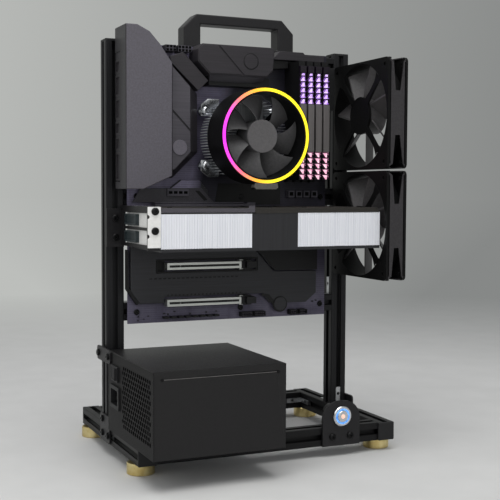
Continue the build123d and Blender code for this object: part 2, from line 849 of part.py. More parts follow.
# Expansion slots with a pivoting latch at the end of each free one
slot_x = board_left + slot_left
expansion = []
latches = []
latch_x = slot_x + slot_length + latch_offset
for number in (*free_slots, card_slot):
    z = board_bottom + lowest_slot + number * slot_pitch
    body = block((slot_x, slot_x + slot_length), (board_face - slot_height, board_face),
                 (z - slot_width / 2, z + slot_width / 2))
    body -= block((slot_x + slot_end, slot_x + slot_length - slot_end),
                  (board_face - slot_height - 1, board_face - slot_height + slot_groove_depth),
                  (z - slot_groove / 2, z + slot_groove / 2))
    if number != card_slot:
        ear_z = latch_width / 2 + latch_gap
        for low, high in ((-ear_z - latch_ear, -ear_z), (ear_z, ear_z + latch_ear)):
            body += block((latch_x - 2, latch_x + latch_length / 2 + 2),
                          (board_face - latch_cheek, board_face), (z + low, z + high))
        body += block((latch_x - latch_offset - 1, latch_x), (board_face - latch_cheek, board_face),
                      (z - ear_z - latch_ear, z + ear_z + latch_ear))
        pivot = (latch_x + latch_length / 2, board_face - latch_pivot, z)
        body -= rod(pivot, "+Z", latch_bore, -ear_z - latch_ear - 1, ear_z + latch_ear + 1)
        latch = block((latch_x + latch_gap, latch_x + latch_length),
                      (board_face - latch_height, board_face - latch_pivot),
                      (z - latch_width / 2, z + latch_width / 2))
        latch += rod(pivot, "+Z", latch_foot, -latch_width / 2, latch_width / 2)
        latch += rod(pivot, "+Z", latch_pin, -ear_z - latch_ear, ear_z + latch_ear)
        latches.append(latch)
    expansion.append(body)
pieces["expansion_slots"] = Compound(expansion)
pieces["lower_slot_latch"] = latches[0]
pieces["upper_slot_latch"] = latches[1]

# Painted covers over the drives and the control chip, around the free slots
lower_z = lowest_slot + free_slots[0] * slot_pitch
upper_z = lowest_slot + free_slots[1] * slot_pitch
notch_top = lower_z + latch_width / 2 + latch_gap + latch_ear + 1
notch_left = slot_left - 2
cover_outlines = [
    [(2, 36), (12, lower_z), (notch_left, lower_z), (notch_left, notch_top), (160, notch_top),
     (170.5, 16.6), (216, 16.2), (229.5, 27), (229.5, 53), (173.6, 53.7), (120, 111), (2, 111)],
    [(174.8, 55.2), (231, 54.5), (231, 100), (133.5, 100)],
    [(16, 142.5), (16, 146), (44, 146), (60, 158), (82, 158), (92, 146), (92, 133), (36, 133)],
]
covers = [clear_screws(slab(on_board(points), board_face, cover_height)) for points in cover_outlines]
window_z = (board_bottom + upper_z - cover_window / 2, board_bottom + upper_z + cover_window / 2)
window_x = (slot_x - cover_window_margin, latch_x + latch_length + cover_window_margin / 2)
covers[0] -= block(window_x, (board_face - cover_height - 1, board_face + 1), window_z)
pieces["board_covers"] = Compound(covers)

# Pin headers along the board's lower and right edges
headers = []
header_low = board_bottom + header_inset
for x, width in ((133, 14), (149, 14), (195, 9), (207, 10)):
    low_x = board_left + x
    header = block((low_x, low_x + width), (board_face - header_height, board_face),
                   (header_low, header_low + header_width))
    header -= block((low_x + header_wall, low_x + width - header_wall),
                    (board_face - header_height - 1, board_face - 2 * header_wall),
                    (header_low + header_wall, header_low + header_width - header_wall))
    headers.append(header)
pieces["board_sockets"] = Compound(power_sockets + headers)

# Processor in its socket
centre_x = cooler_axis_x
centre_z = cooler_axis_z
package = block((centre_x - package_side / 2, centre_x + package_side / 2),
                (board_face - package_height, board_face),
                (centre_z - package_side / 2, centre_z + package_side / 2))
pieces["processor"] = package

# Round stack of aluminium fins on the cooler's base, notched for the mounting screws
base_back = board_face - package_height
base_front = base_back - cooler_base_height
fin_front = base_front - fin_height
base_half = cooler_base_side / 2
fin_stack = block((centre_x - base_half, centre_x + base_half), (base_front, base_back),
                  (centre_z - base_half, centre_z + base_half))
fin_stack += block((centre_x - fin_spine / 2, centre_x + fin_spine / 2), (fin_front, base_front),
                   (centre_z - fin_radius + 4, centre_z + fin_radius - 4))
fin_count = int((fin_radius - 4) / fin_pitch)
for index in range(-fin_count, fin_count + 1):
    offset_z = index * fin_pitch
    chord = sqrt(fin_radius ** 2 - offset_z ** 2)
    fin_stack += block((centre_x - chord, centre_x + chord), (fin_front, base_front),
                       (centre_z + offset_z - fin_thickness / 2, centre_z + offset_z + fin_thickness / 2))
for x, z in mount_holes:
    fin_stack -= rod((x, board_face, z), "-Y", mount_pocket, 0, -fin_front)
pieces["cooler_fins"] = fin_stack

# Spring loaded screws and the two bars that press the cooler on the processor
bar_back = base_back - mount_thickness
mount_bars = []
for j in (-1, 1):
    z = centre_z + j * mount_z
    bar = block((centre_x - mount_x, centre_x + mount_x), (base_back - mount_thickness, base_back),
                (z - mount_bar / 2, z + mount_bar / 2))
    for i in (-1, 1):
        place = (centre_x + i * mount_x, base_back, z)
        bar += rod(place, "-Y", mount_ear, 0, mount_thickness)
        bar -= rod(place, "-Y", screw_hole, -1, mount_thickness + 1)
    inner_edge = centre_z + j * base_half
    lug = sorted((inner_edge, z))
    bar += block((centre_x - 6, centre_x + 6), (base_back - mount_thickness, base_back), (lug[0], lug[1]))
    mount_bars.append(bar)
cooler_screws = []
head_back = board_face - mount_screw_top
for x, z in mount_holes:
    bolt = screw((x, head_back, z), "-Y", mount_screw_top + board_thickness + 3, mount_screw_radius,
                 mount_screw_head, mount_screw_head_height)
    cooler_screws.append(bolt)
    spring = rod((x, bar_back, z), "-Y", mount_spring_radius, 0, bar_back - head_back)
    spring -= rod((x, bar_back, z), "-Y", mount_screw_radius + 0.4, -1, bar_back - head_back + 1)
    cooler_screws.append(spring)
    nut = rod((x, board_back, z), "+Y", mount_screw_head, 0, 2.6)
    nut -= rod((x, board_back, z), "+Y", mount_screw_radius + 0.1, -1, 4)
    cooler_screws.append(nut)
pieces["cooler_bars"] = Compound(mount_bars)
pieces["cooler_screws"] = Compound(cooler_screws)

# Cooler fan: round duct with a lit ring let into its front rim
cooler_seat = Pos(centre_x, fin_front, centre_z) * turn_to["-Y"]
duct = extrude(Circle(cooler_duct), amount=cooler_fan_depth)
duct -= Pos(0, 0, cooler_fan_depth / 2) * Cylinder(cooler_bore, cooler_fan_depth + 2)
duct += fan_struts(4, cooler_bore + 1, 45) + fan_cup(cooler_cup_radius, cooler_fan_depth)
duct -= bearing_bore(cooler_fan_depth)
tab_reach = cooler_duct + cooler_tab_height
tab_mid = cooler_fan_depth - cooler_tab_depth / 2
tab = Pos(0, -tab_reach / 2, tab_mid) * Box(cooler_tab_width, tab_reach, cooler_tab_depth)
duct += tab - Pos(0, 0, cooler_fan_depth / 2) * Cylinder(cooler_bore, cooler_fan_depth + 2)
ring_low = cooler_fan_depth - light_ring_height
ring_cut = Pos(0, 0, ring_low) * extrude(Circle(light_ring_outer) - Circle(light_ring_inner),
                                         amount=light_ring_height)
pieces["cooler_duct"] = cooler_seat * (duct - ring_cut)
pieces["cooler_light_ring"] = cooler_seat * ring_cut
cooler_fan = fan_rotor(cooler_hub_radius, cooler_bore - fan_tip_gap, cooler_fan_depth - cooler_set_back,
                       7, 52, 34, 20)
pieces["cooler_rotor"] = cooler_seat * cooler_fan

# Graphics card: circuit board with its edge in the slot, components facing down
card_z = board_bottom + lowest_slot + card_slot * slot_pitch
card_x = board_left - card_overhang
card_right = card_x + card_length
card_front_y = board_face - card_front
card_back_y = board_face - card_board_clear
card_low = card_z - card_board_thickness / 2
card_high = card_z + card_board_thickness / 2
card_board = block((card_x, card_right), (card_front_y + card_lip + card_lip_gap, card_back_y),
                   (card_low, card_high))
tongue_left = slot_x + slot_end + card_tongue_left
tongue_right = slot_x + slot_length - slot_end - card_tongue_left
tongue_end = board_face - slot_height + card_tongue_depth
card_board += block((tongue_left, tongue_right), (card_back_y, tongue_end), (card_low, card_high))
stack_left = card_x + card_stack_inset
stack_right = stack_left + card_left_stack + card_stack_gap
chip_x = stack_left + card_left_stack * 0.6
chip_y = (card_front_y + card_back_y) / 2
chip_half = card_chip_side / 2
chip = block((chip_x - chip_half, chip_x + chip_half), (chip_y - chip_half, chip_y + chip_half),
             (card_low - card_chip_height, card_low))
pieces["card_board"] = card_board + chip

# Two stacks of upright fins joined by heat pipes, hollowed below for the fans
fins_top = card_low - card_chip_height
fins_low = fins_top - card_fins_height
plate_low = card_high + card_backplate_gap
lip_top = plate_low - card_lip_gap
fins_back = board_face - card_fins_back
fan_y = (card_front_y + fins_back) / 2
fan_spots = [stack_left + card_left_stack / 2, stack_right + card_right_stack / 2]


def fin_block(low_x, width):
    """Upright fins hung from a base plate, with a raised front lip and round room for a fan."""
    fins = block((low_x, low_x + width), (card_front_y, fins_back), (fins_top - card_fins_base, fins_top))
    count = int(width // card_fin_pitch)
    step = (width - card_fin_thickness) / count
    for index in range(count + 1):
        fin_x = low_x + index * step
        fins += block((fin_x, fin_x + card_fin_thickness), (card_front_y, fins_back),
                      (fins_low, lip_top))
    fins -= block((low_x - 1, low_x + width + 1), (card_front_y + card_lip, fins_back + 1),
                  (fins_top, lip_top + 1))
    room = rod((low_x + width / 2, fan_y, fins_low), "+Z", card_fan_bore + 1, -1, card_fan_recess)
    return fins - room


left_fins = fin_block(stack_left, card_left_stack)
right_fins = fin_block(stack_right, card_right_stack)
pipe_z = fins_top - card_fins_base - card_pipe - card_pipe_gap
fin_set = left_fins + right_fins
pipe_end = stack_right + card_right_stack - card_pipe_inset
for y in (fan_y - card_pipe_offset, fan_y + card_pipe_offset):
    fin_set += rod((0, y, pipe_z), "+X", card_pipe, stack_left + card_pipe_inset, pipe_end)
pieces["card_fins"] = fin_set

# Moulded lower cover of the card with its fan openings and the dark middle panel
cover_low = fins_low - card_shroud_thickness
card_cover = block((stack_left, stack_right + card_right_stack), (card_front_y, fins_back),
                   (cover_low, fins_low))
middle = (stack_left + card_left_stack + 0.4, stack_right - 0.4)
card_cover += block(middle, (card_front_y, card_front_y + card_shroud_wall), (cover_low, lip_top))
card_cover += block(middle, (fins_back - card_shroud_wall, fins_back), (cover_low, fins_top))
card_rotors = []
for x in fan_spots:
    place = Pos(x, fan_y, cover_low)
    card_cover -= place * Cylinder(card_fan_bore, 6 * card_shroud_thickness)
    card_cover += place * fan_struts(3, card_fan_bore + 1, 90)
    card_cover += place * fan_cup(card_cup_radius, card_fan_recess)
    card_cover -= place * bearing_bore(card_fan_recess)
    spinner = fan_rotor(card_hub_radius, card_fan_bore - fan_tip_gap, card_fan_recess + card_shroud_wall,
                        11, 42, 24, 16)
    card_rotors.append(place * spinner)
pieces["card_cover"] = card_cover
pieces["card_left_rotor"] = card_rotors[0]
pieces["card_right_rotor"] = card_rotors[1]

# Stiff plate over the card's upper side, on posts that meet the circuit board
back_plate = block((card_x, card_right), (card_front_y, card_back_y),
                   (plate_low, plate_low + card_backplate_thickness))
for x in (card_x + card_post_inset, (card_x + card_right) / 2, card_right - card_post_inset):
    for y in (card_front_y + card_post_inset, card_back_y - card_post_inset):
        back_plate += rod((x, y, card_high), "+Z", card_post_radius, 0, card_backplate_gap)
pieces["card_backplate"] = back_plate

# Plated steel bracket at the card's left end, its tab bent towards the outside
bracket_right = card_x
bracket_left = bracket_right - bracket_thickness
bracket_top = card_high + bracket_rise
bracket_low = bracket_top - bracket_drop - bracket_rise
tab_back = card_front_y
tab_front = tab_back - bracket_thickness
bracket_z = (bracket_low, bracket_top)
bracket = block((bracket_left, bracket_right), (tab_front, board_face - bracket_back), bracket_z)
bracket += block((bracket_left - bracket_tab, bracket_left), (tab_front, tab_back), bracket_z)
port_rows = [bracket_top - port_row_top - row * port_row_pitch for row in range(2)]
port_y = (board_face - bracket_back - port_back - port_length, board_face - bracket_back - port_back)
card_ports = []
tab_x = bracket_left - bracket_tab + tab_screw_x
tab_z = [bracket_top - tab_screw_drop - row * tab_screw_spacing for row in range(2)]
arm_right = bracket_left
arm_left = arm_right - arm_thickness
for z in port_rows:
    z_span = (z - port_row_height / 2, z + port_row_height / 2)
    bracket -= block((bracket_left - 1, bracket_right + 1), port_y, z_span)
    card_ports.append(block((bracket_left - port_stand, bracket_right), port_y, z_span))
for z in tab_z:
    bracket -= rod((tab_x, tab_back, z), "-Y", screw_hole, -1, bracket_thickness + 1)
    notch = (bracket_left - bracket_tab, tab_back, z + tab_screw_drop - tab_notch_drop)
    bracket -= rod(notch, "-Y", tab_notch, -1, bracket_thickness + 1)
pieces["card_bracket"] = bracket
mouth = [port - block((bracket_left - port_stand, bracket_left - port_stand + port_recess),
                      (port_y[0] + 2, port_y[1] - 2),
                      (z - port_row_height / 2 + 2, z + port_row_height / 2 - 2))
         for port, z in zip(card_ports, port_rows)]
pieces["card_ports"] = Compound(mouth)

# Painted steel arm from the left post's front face to the card's tab
arm_low = bracket_low - arm_skirt
arm_high = bracket_top
arm_mid = (bracket_low + bracket_top) / 2 - arm_foot_drop
flange_front = tab_back
flange_back = tab_back + arm_thickness
arm = block((arm_left, arm_right), (flange_front, 0), (arm_low, arm_high))
arm += block((0, arm_right), (-arm_thickness, 0),
             (arm_mid - arm_foot_height / 2, arm_mid + arm_foot_height / 2))
arm += block((bracket_left - bracket_tab, arm_right), (flange_front, flange_back), (arm_low, arm_high))
for z in port_rows:
    arm -= block((arm_left - 1, arm_right + 1), (flange_front + arm_window_front, -arm_window_back),
                 (z - arm_window_height / 2, z + arm_window_height / 2))
for z in tab_z:
    arm -= rod((tab_x, flange_back, z), "-Y", screw_hole, -1, arm_thickness + 1)
    screws.append(screw((tab_x, tab_front, z), "-Y", bracket_thickness + arm_thickness + 1.5))
for side in (-1, 1):
    z = arm_mid + side * arm_screw_spacing / 2
    arm -= rod((post_mid, 0, z), "-Y", screw_hole, -1, arm_thickness + 1)
    screws.append(screw((post_mid, -arm_thickness, z), "-Y", arm_thickness + screw_below_lip))
    nuts.append(slot_nut((post_mid, 0, z), "-Y"))
pieces["card_arm"] = arm


# Power supply: a folded steel tray with the rear panel, and a folded cover over it
def psu_box(inset_y, low, high):
    """The supply's outer box, drawn in along Y."""
    return block((psu_left, psu_right), (psu_front + inset_y, psu_back - inset_y), (low, high))


cover = psu_box(0, psu_bottom, psu_top)
cover -= block((psu_left - 1, psu_right + 1), (psu_front + psu_wall, psu_back - psu_wall),
               (psu_bottom - 1, psu_top - psu_wall))
groove_z = psu_top - psu_groove_drop
cover -= block((psu_left + psu_groove_inset, psu_right - psu_groove_inset),
               (psu_front - 1, psu_front + psu_groove_depth),
               (groove_z - psu_groove_width / 2, groove_z + psu_groove_width / 2))
pieces["psu_cover"] = cover
tray_top = psu_top - psu_wall
tray = psu_box(psu_wall, psu_bottom, tray_top)
tray -= block((psu_left + psu_wall, psu_right - psu_wall), (psu_front, psu_back),
              (psu_bottom + psu_wall, psu_top))
cell = extrude(RegularPolygon(mesh_hole / 2, 6, major_radius=False), amount=2 * psu_wall, both=True)
cells = []
for row in range(mesh_rows):
    row_start = psu_front + mesh_front + (row % 2) * mesh_pitch_y / 2
    for column in range(mesh_columns):
        place = Pos(psu_left, row_start + column * mesh_pitch_y, psu_bottom + mesh_low + row * mesh_pitch_z)
        cells.append(place * turn_to["+X"] * cell)
tray -= cells
psu_mid_x = (psu_left + psu_right) / 2
psu_mid_y = (psu_front + psu_back) / 2
guard = Cylinder(psu_fan_bore - guard_pitch * guard_rings, 4 * psu_wall)
for index in range(guard_rings):
    outer = psu_fan_bore - index * guard_pitch
    guard += Cylinder(outer, 4 * psu_wall) - Cylinder(outer - guard_pitch + guard_wire, 4 * psu_wall)
for turn in (0, 90):
    guard -= Rot(0, 0, turn) * Box(2 * psu_fan_bore, guard_wire, 4 * psu_wall)
tray -= Pos(psu_mid_x, psu_mid_y, psu_bottom) * guard
inlet_mid = psu_back - inlet_y
inlet_centre = psu_bottom + inlet_z
inlet_low = inlet_centre - inlet_height / 2
inlet_high = inlet_centre + inlet_height / 2
inlet_span = (inlet_mid - inlet_width / 2, inlet_mid + inlet_width / 2)
tray -= block((psu_left - 1, psu_left + psu_wall + 1), inlet_span, (inlet_low, inlet_high))
rocker_mid = psu_bottom + rocker_z
frame_y = (inlet_mid - rocker_height / 2 - rocker_wall, inlet_mid + rocker_height / 2 + rocker_wall)
frame_z = (rocker_mid - rocker_width / 2 - rocker_wall, rocker_mid + rocker_width / 2 + rocker_wall)
tray -= block((psu_left - 1, psu_left + psu_wall + 1), frame_y, frame_z)
output_face = psu_right - psu_wall
output_rows = [psu_bottom + output_low, psu_bottom + output_low + output_rise]
output_start = psu_mid_y - (output_columns - 1) * output_pitch / 2
output_spots = [output_start + index * output_pitch for index in range(output_columns)]
for z in output_rows:
    for y in output_spots:
        tray -= block((output_face - 1, psu_right + 1), (y - output_width / 2, y + output_width / 2),
                      (z - output_height / 2, z + output_height / 2))
corner_z = [psu_bottom + psu_screw_inset, psu_top - psu_screw_inset]
corner_y = [psu_front + psu_screw_inset, psu_back - psu_screw_inset]
tie_screw = (psu_left, corner_y[1], corner_z[1])
tray -= rod(tie_screw, "-X", screw_hole, -psu_wall - 1, 1)
pieces["psu_tray"] = tray

# Mains inlet with its pins, and the output sockets in the opposite panel
inlet = block((psu_left, psu_left + inlet_depth), inlet_span, (inlet_low, inlet_high))
inlet_rim = block((psu_left - inlet_flange, psu_left),
                  (inlet_span[0] - inlet_wall, inlet_span[1] + inlet_wall),
                  (inlet_low - inlet_wall, inlet_high + inlet_wall))
inlet += inlet_rim
inlet -= block((psu_left - inlet_flange - 1, psu_left + inlet_depth - inlet_wall),
               (inlet_span[0] + inlet_wall, inlet_span[1] - inlet_wall),
               (inlet_low + inlet_wall, inlet_high - inlet_wall))
for y, z in ((-7, -3), (0, 3), (7, -3)):
    inlet += block((psu_left + 3, psu_left + inlet_depth),
                   (inlet_mid + y - pin_side / 2, inlet_mid + y + pin_side / 2),
                   (inlet_centre + z - pin_side, inlet_centre + z + pin_side))
outputs = []
for z in output_rows:
    for y in output_spots:
        output = Box(output_depth, output_width, output_height)
        mouth = Box(2 * port_recess, output_width - 2 * output_wall, output_height - 2 * output_wall)
        output -= Pos(output_depth / 2, 0, 0) * mouth
        outputs.append(Pos(psu_right - output_depth / 2, y, z) * output)
pieces["psu_outputs"] = Compound(outputs)

# Rocker switch above the inlet, tilting on a pin in its frame
rocker_frame = block((psu_left - inlet_flange, psu_left + rocker_depth), frame_y, frame_z)
rocker_room_y = (inlet_mid - rocker_height / 2, inlet_mid + rocker_height / 2)
rocker_room_z = (rocker_mid - rocker_width / 2, rocker_mid + rocker_width / 2)
rocker_frame -= block((psu_left - inlet_flange - 1, psu_left + rocker_depth - rocker_wall),
                      rocker_room_y, rocker_room_z)
rocker_pivot = (psu_left + 1.5, inlet_mid, rocker_mid)
rocker_frame -= rod(rocker_pivot, "+Z", rocker_bore, -rocker_width / 2 - rocker_wall / 2,
                    rocker_width / 2 + rocker_wall / 2)
pieces["psu_inlet"] = Compound([inlet, rocker_frame])
rocker_half = rocker_height / 2 - 2 * rocker_gap
rocker_points = [(-1.6, -rocker_half), (-4.6, -rocker_half), (-2.6, 0), (-4.6, rocker_half),
                 (-1.6, rocker_half), (1.6, 3), (1.6, -3)]
rocker_outline = Polygon(*[(x, y) for x, y in rocker_points], align=None)
rocker_thick = rocker_width - 2 * rocker_gap
rocker = extrude(rocker_outline, amount=rocker_thick / 2, both=True)
rocker = Pos(*rocker_pivot) * Rot(0, 0, -rocker_tilt) * rocker
rocker += rod(rocker_pivot, "+Z", rocker_pin, -rocker_width / 2 - rocker_wall / 2 + rocker_gap,
              rocker_width / 2 + rocker_wall / 2 - rocker_gap)
pieces["psu_rocker"] = rocker

# Fan over the ringed guard in the supply's floor
psu_fan_low = psu_bottom + psu_wall
psu_seat = Pos(psu_mid_x, psu_mid_y, psu_fan_low)
psu_frame = fan_frame(side_fan, side_fan_depth, psu_fan_bore, side_fan_hole)
pieces["psu_fan_frame"] = psu_seat * psu_frame
psu_spinner = fan_rotor(fan_hub_radius, psu_fan_bore - fan_tip_gap, side_fan_depth - 1, 9, 46, 28, 16)
pieces["psu_rotor"] = psu_seat * psu_spinner

# Circuit of the supply, hung on posts from its cover, with transformer, coils and coolers
circuit_top = psu_top - psu_wall - psu_circuit_drop
circuit_low = circuit_top - psu_circuit_thickness
margin = psu_wall + psu_circuit_margin
circuit = block((psu_left + margin + inlet_depth, psu_right - margin - output_depth),
                (psu_front + margin, psu_back - margin), (circuit_low, circuit_top))
for x in (psu_left + margin + inlet_depth + 6, psu_right - margin - output_depth - 6):
    for y in (psu_front + margin + 6, psu_back - margin - 6):
        circuit += rod((x, y, circuit_top), "+Z", psu_post_radius, 0, psu_circuit_drop)
part_floor = psu_fan_low + side_fan_depth + 2
part_height = circuit_low - part_floor
circuit += block((psu_mid_x - 16, psu_mid_x + 16), (psu_mid_y - 20, psu_mid_y + 20),
                 (circuit_low - part_height * 0.9, circuit_low))
for y in (psu_mid_y - 48, psu_mid_y + 48):
    circuit += block((psu_mid_x - 36, psu_mid_x + 36), (y - 2, y + 2),
                     (circuit_low - part_height, circuit_low))
for x, y in ((-30, 0), (30, -14), (30, 14)):
    circuit += rod((psu_mid_x + x, psu_mid_y + y, circuit_low), "-Z", 9, 0, part_height * 0.8)
pieces["psu_circuit"] = circuit

# Strap from the left post's slot to the upper screw of the supply's rear panel
tie_face = psu_left
tie_z = corner_z[1]
tie = side_plate(tie_face, corner_y[1] - strap_overlap, post_mid + strap_overlap,
                 tie_z - strap_width / 2, tie_z + strap_width / 2, -plate_thickness, plate_corner)
tie += rod((0, post_mid, tie_z), "-X", strap_overlap, 0, psu_overhang)
tie -= rod((0, post_mid, tie_z), "-X", screw_hole, -1, psu_overhang + plate_thickness + 1)
tie -= rod(tie_screw, "-X", screw_hole, -1, plate_thickness + 1)
pieces["psu_tie_plate"] = tie
tie_outer = tie_face - plate_thickness
tie_length = plate_thickness + psu_overhang + screw_below_lip
screws.append(screw((tie_outer, post_mid, tie_z), "-X", tie_length))
screws.append(screw((tie_outer, corner_y[1], tie_z), "-X", plate_thickness + psu_wall + 2))
nuts.append(slot_nut((0, post_mid, tie_z), "-X"))
pieces["frame_screws"] = Compound(screws)
pieces["slot_nuts"] = Compound(nuts)

# The finished bench stands on the floor with the middle of its plan at the origin.
box = Compound([piece for piece in pieces.values()]).bounding_box()
to_origin = Pos(-(box.min.X + box.max.X) / 2, -(box.min.Y + box.max.Y) / 2, 0)
os.makedirs("parts", exist_ok=True)
for name, piece in pieces.items():
    export_step(to_origin * piece, f"parts/{name}.step")
print("plan centre", (box.min.X + box.max.X) / 2, (box.min.Y + box.max.Y) / 2)
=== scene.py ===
import bmesh
import bpy
import json
import math
from mathutils import Matrix, Vector

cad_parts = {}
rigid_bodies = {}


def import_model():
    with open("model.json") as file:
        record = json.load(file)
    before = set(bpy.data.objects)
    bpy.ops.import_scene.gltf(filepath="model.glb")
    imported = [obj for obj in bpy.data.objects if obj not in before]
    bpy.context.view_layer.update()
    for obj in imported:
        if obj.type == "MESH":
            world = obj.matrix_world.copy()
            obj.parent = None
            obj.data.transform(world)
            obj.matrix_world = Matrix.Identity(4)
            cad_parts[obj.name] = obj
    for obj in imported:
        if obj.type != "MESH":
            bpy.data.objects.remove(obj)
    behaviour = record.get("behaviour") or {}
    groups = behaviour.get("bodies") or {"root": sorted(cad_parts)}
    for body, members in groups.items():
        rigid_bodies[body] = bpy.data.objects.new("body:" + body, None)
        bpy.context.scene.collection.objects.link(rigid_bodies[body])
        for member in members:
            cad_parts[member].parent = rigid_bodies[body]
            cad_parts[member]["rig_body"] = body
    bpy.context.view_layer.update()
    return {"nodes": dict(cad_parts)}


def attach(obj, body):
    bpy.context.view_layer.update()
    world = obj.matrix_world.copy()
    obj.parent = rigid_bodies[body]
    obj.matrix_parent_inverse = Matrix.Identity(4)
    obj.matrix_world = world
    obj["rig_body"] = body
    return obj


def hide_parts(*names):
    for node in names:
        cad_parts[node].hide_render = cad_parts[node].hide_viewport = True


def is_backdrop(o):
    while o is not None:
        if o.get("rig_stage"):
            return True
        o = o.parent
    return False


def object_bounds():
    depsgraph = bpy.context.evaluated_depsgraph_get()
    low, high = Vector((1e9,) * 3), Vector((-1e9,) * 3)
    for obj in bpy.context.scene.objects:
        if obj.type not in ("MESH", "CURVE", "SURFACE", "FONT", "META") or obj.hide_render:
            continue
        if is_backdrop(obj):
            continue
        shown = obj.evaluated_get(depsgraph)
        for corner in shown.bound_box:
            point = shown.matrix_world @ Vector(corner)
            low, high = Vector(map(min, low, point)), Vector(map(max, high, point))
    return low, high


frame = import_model()


# Posts and rails: lengths of slotted square aluminium, drawn through a die and black anodised.
# They are cut square and held together by angle pieces that lie in their slots.
nodes = frame["nodes"]


def linear(code):
    """A colour's sRGB hex value as the linear colour that a shader reads."""
    parts = [int(code[i:i + 2], 16) / 255 for i in (1, 3, 5)]
    return [p / 12.92 if p <= 0.04045 else ((p + 0.055) / 1.055) ** 2.4 for p in parts] + [1.0]


def wire(node, inputs):
    """Gives a node its inputs: each is a value, or the socket that it is linked from."""
    for name, value in inputs.items():
        if isinstance(value, bpy.types.NodeSocket):
            node.id_data.links.new(value, node.inputs[name])
        else:
            node.inputs[name].default_value = value


def add(tree, kind, inputs=None, stops=(), **settings):
    """A node with its settings and inputs; a colour ramp's stops are places and sRGB hex values."""
    node = tree.nodes.new(kind)
    for name, value in settings.items():
        setattr(node, name, value)
    while stops and len(node.color_ramp.elements) < len(stops):
        node.color_ramp.elements.new(0.5)
    for index, (place, code) in enumerate(stops):
        node.color_ramp.elements[index].position = place
        node.color_ramp.elements[index].color = linear(code)
    wire(node, inputs or {})
    return node


def start(name, sockets):
    """A new material with constants set on its shader, its node tree, that shader and its Object places."""
    material = bpy.data.materials.new(name)
    material.use_nodes = True
    tree = material.node_tree
    shader = tree.nodes["Principled BSDF"]
    wire(shader, sockets)
    return material, tree, shader, add(tree, "ShaderNodeTexCoord").outputs["Object"]


def grained(name, colors, roughness, size, height, stretch=(1, 1, 1), **sockets):
    """A surface whose tone, gloss and relief follow one grain: its size and height are in mm,
    and stretch draws it out along each axis, as rolling, drawing and brushing do."""
    named = {key.replace("_", " "): value for key, value in sockets.items()}
    material, tree, shader, place = start(name, {"Specular IOR Level": 0.3, **named})
    lay = add(tree, "ShaderNodeMapping", {"Vector": place, "Scale": [1 / s for s in stretch]})
    # Most real grain is too fine for the render, so its size is given as coarse as it needs to show.
    grain = add(tree, "ShaderNodeTexNoise", {"Vector": lay.outputs["Vector"], "Scale": 1000 / size,
                                             "Detail": 3.0, "Roughness": 0.6}).outputs["Fac"]
    # Most of the noise lies between 0.3 and 0.7.
    tone = add(tree, "ShaderNodeValToRGB", {"Fac": grain}, [(0.32, colors[0]), (0.68, colors[1])])
    gloss = add(tree, "ShaderNodeMapRange", {"Value": grain, "From Min": 0.3, "From Max": 0.7,
                                             "To Min": roughness[0], "To Max": roughness[1]})
    relief = add(tree, "ShaderNodeBump", {"Height": grain, "Strength": 0.6, "Distance": height / 1000})
    wire(shader, {"Base Color": tone.outputs["Color"], "Roughness": gloss.outputs["Result"],
                  "Normal": relief.outputs["Normal"]})
    return material


def coat(material, *names):
    """Gives solids of the frame a finish."""
    for name in names:
        nodes[name].data.materials.clear()
        nodes[name].data.materials.append(material)


# Anodised aluminium has a satin skin with fine lines along the draw, here 1.2 mm apart to show.
line_step = 1.2
line_length = 90
for kind, colors, roughness, stretch, names in (
        ("drawn upright", ("#18181a", "#252527"), (0.38, 0.54), (1, 1, line_length),
         ("left_post", "right_post")),
        ("drawn across", ("#18181a", "#252527"), (0.38, 0.54), (line_length, 1, 1), ("cross_rails",)),
        ("of the base", ("#0f0f10", "#171718"), (0.4, 0.56), (line_length, line_length, 1),
         ("base_rails",))):
    anodised = grained("black anodised aluminium " + kind, colors, roughness, line_step, 0.02, stretch,
                       Metallic=0.35)
    coat(anodised, *names)


# End caps: moulded black plastic squares pushed into the open ends of the extrusions.
# Their mould was spark eroded, which leaves a fine dull grain.
moulded_black = grained("moulded black ABS", ("#151516", "#1d1d1f"), (0.46, 0.6), 1.6, 0.03)
coat(moulded_black, "end_caps")


# Feet and standoffs: brass turned from bar, with the lathe's fine rings left on their sides.
# The feet are screwed to the rails from below, the standoffs into nuts in the cross rails.
brass, tree, shader, place = start("turned brass", {"Metallic": 1.0, "Roughness": 0.34})
# A wave texture of scale 1 repeats at this length. The rings are drawn wide apart to show.
wave_length = 2 * math.pi / 20
ring_spacing, ring_depth, tarnish_size = 1.5, 0.05, 9
rings = add(tree, "ShaderNodeTexWave", {"Vector": place, "Scale": 1000 * wave_length / ring_spacing,
                                        "Distortion": 0.4}, wave_type="BANDS", bands_direction="Z")
tarnish = add(tree, "ShaderNodeTexNoise", {"Vector": place, "Scale": 1000 / tarnish_size, "Detail": 4.0})
tone = add(tree, "ShaderNodeValToRGB", {"Fac": tarnish.outputs["Fac"]},
           [(0.35, "#cfb877"), (0.65, "#e3d39c")])
relief = add(tree, "ShaderNodeBump", {"Height": rings.outputs["Fac"], "Strength": 0.35,
                                      "Distance": ring_depth / 1000})
wire(shader, {"Base Color": tone.outputs["Color"], "Normal": relief.outputs["Normal"]})
coat(brass, "feet", "standoffs")


# Angle connectors, slot nuts and screws: steel, zinc plated in the slots and blackened outside.
# Zinc has a faint cloudy spangle, and blackened steel a thin oil film.
zinc = grained("zinc plated steel", ("#a9abad", "#c6c8ca"), (0.3, 0.46), 3, 0.01, Metallic=1.0)
blackened = grained("blackened steel", ("#0f0f10", "#1b1b1c"), (0.28, 0.42), 1.5, 0.01, Metallic=0.6)
coat(zinc, "slot_connectors", "slot_nuts")
coat(blackened, "frame_screws", "board_screws")


def meshed(name, work):
    """A work mesh turned into a plain mesh."""
    mesh = bpy.data.meshes.new(name)
    work.to_mesh(mesh)
    work.free()
    return mesh


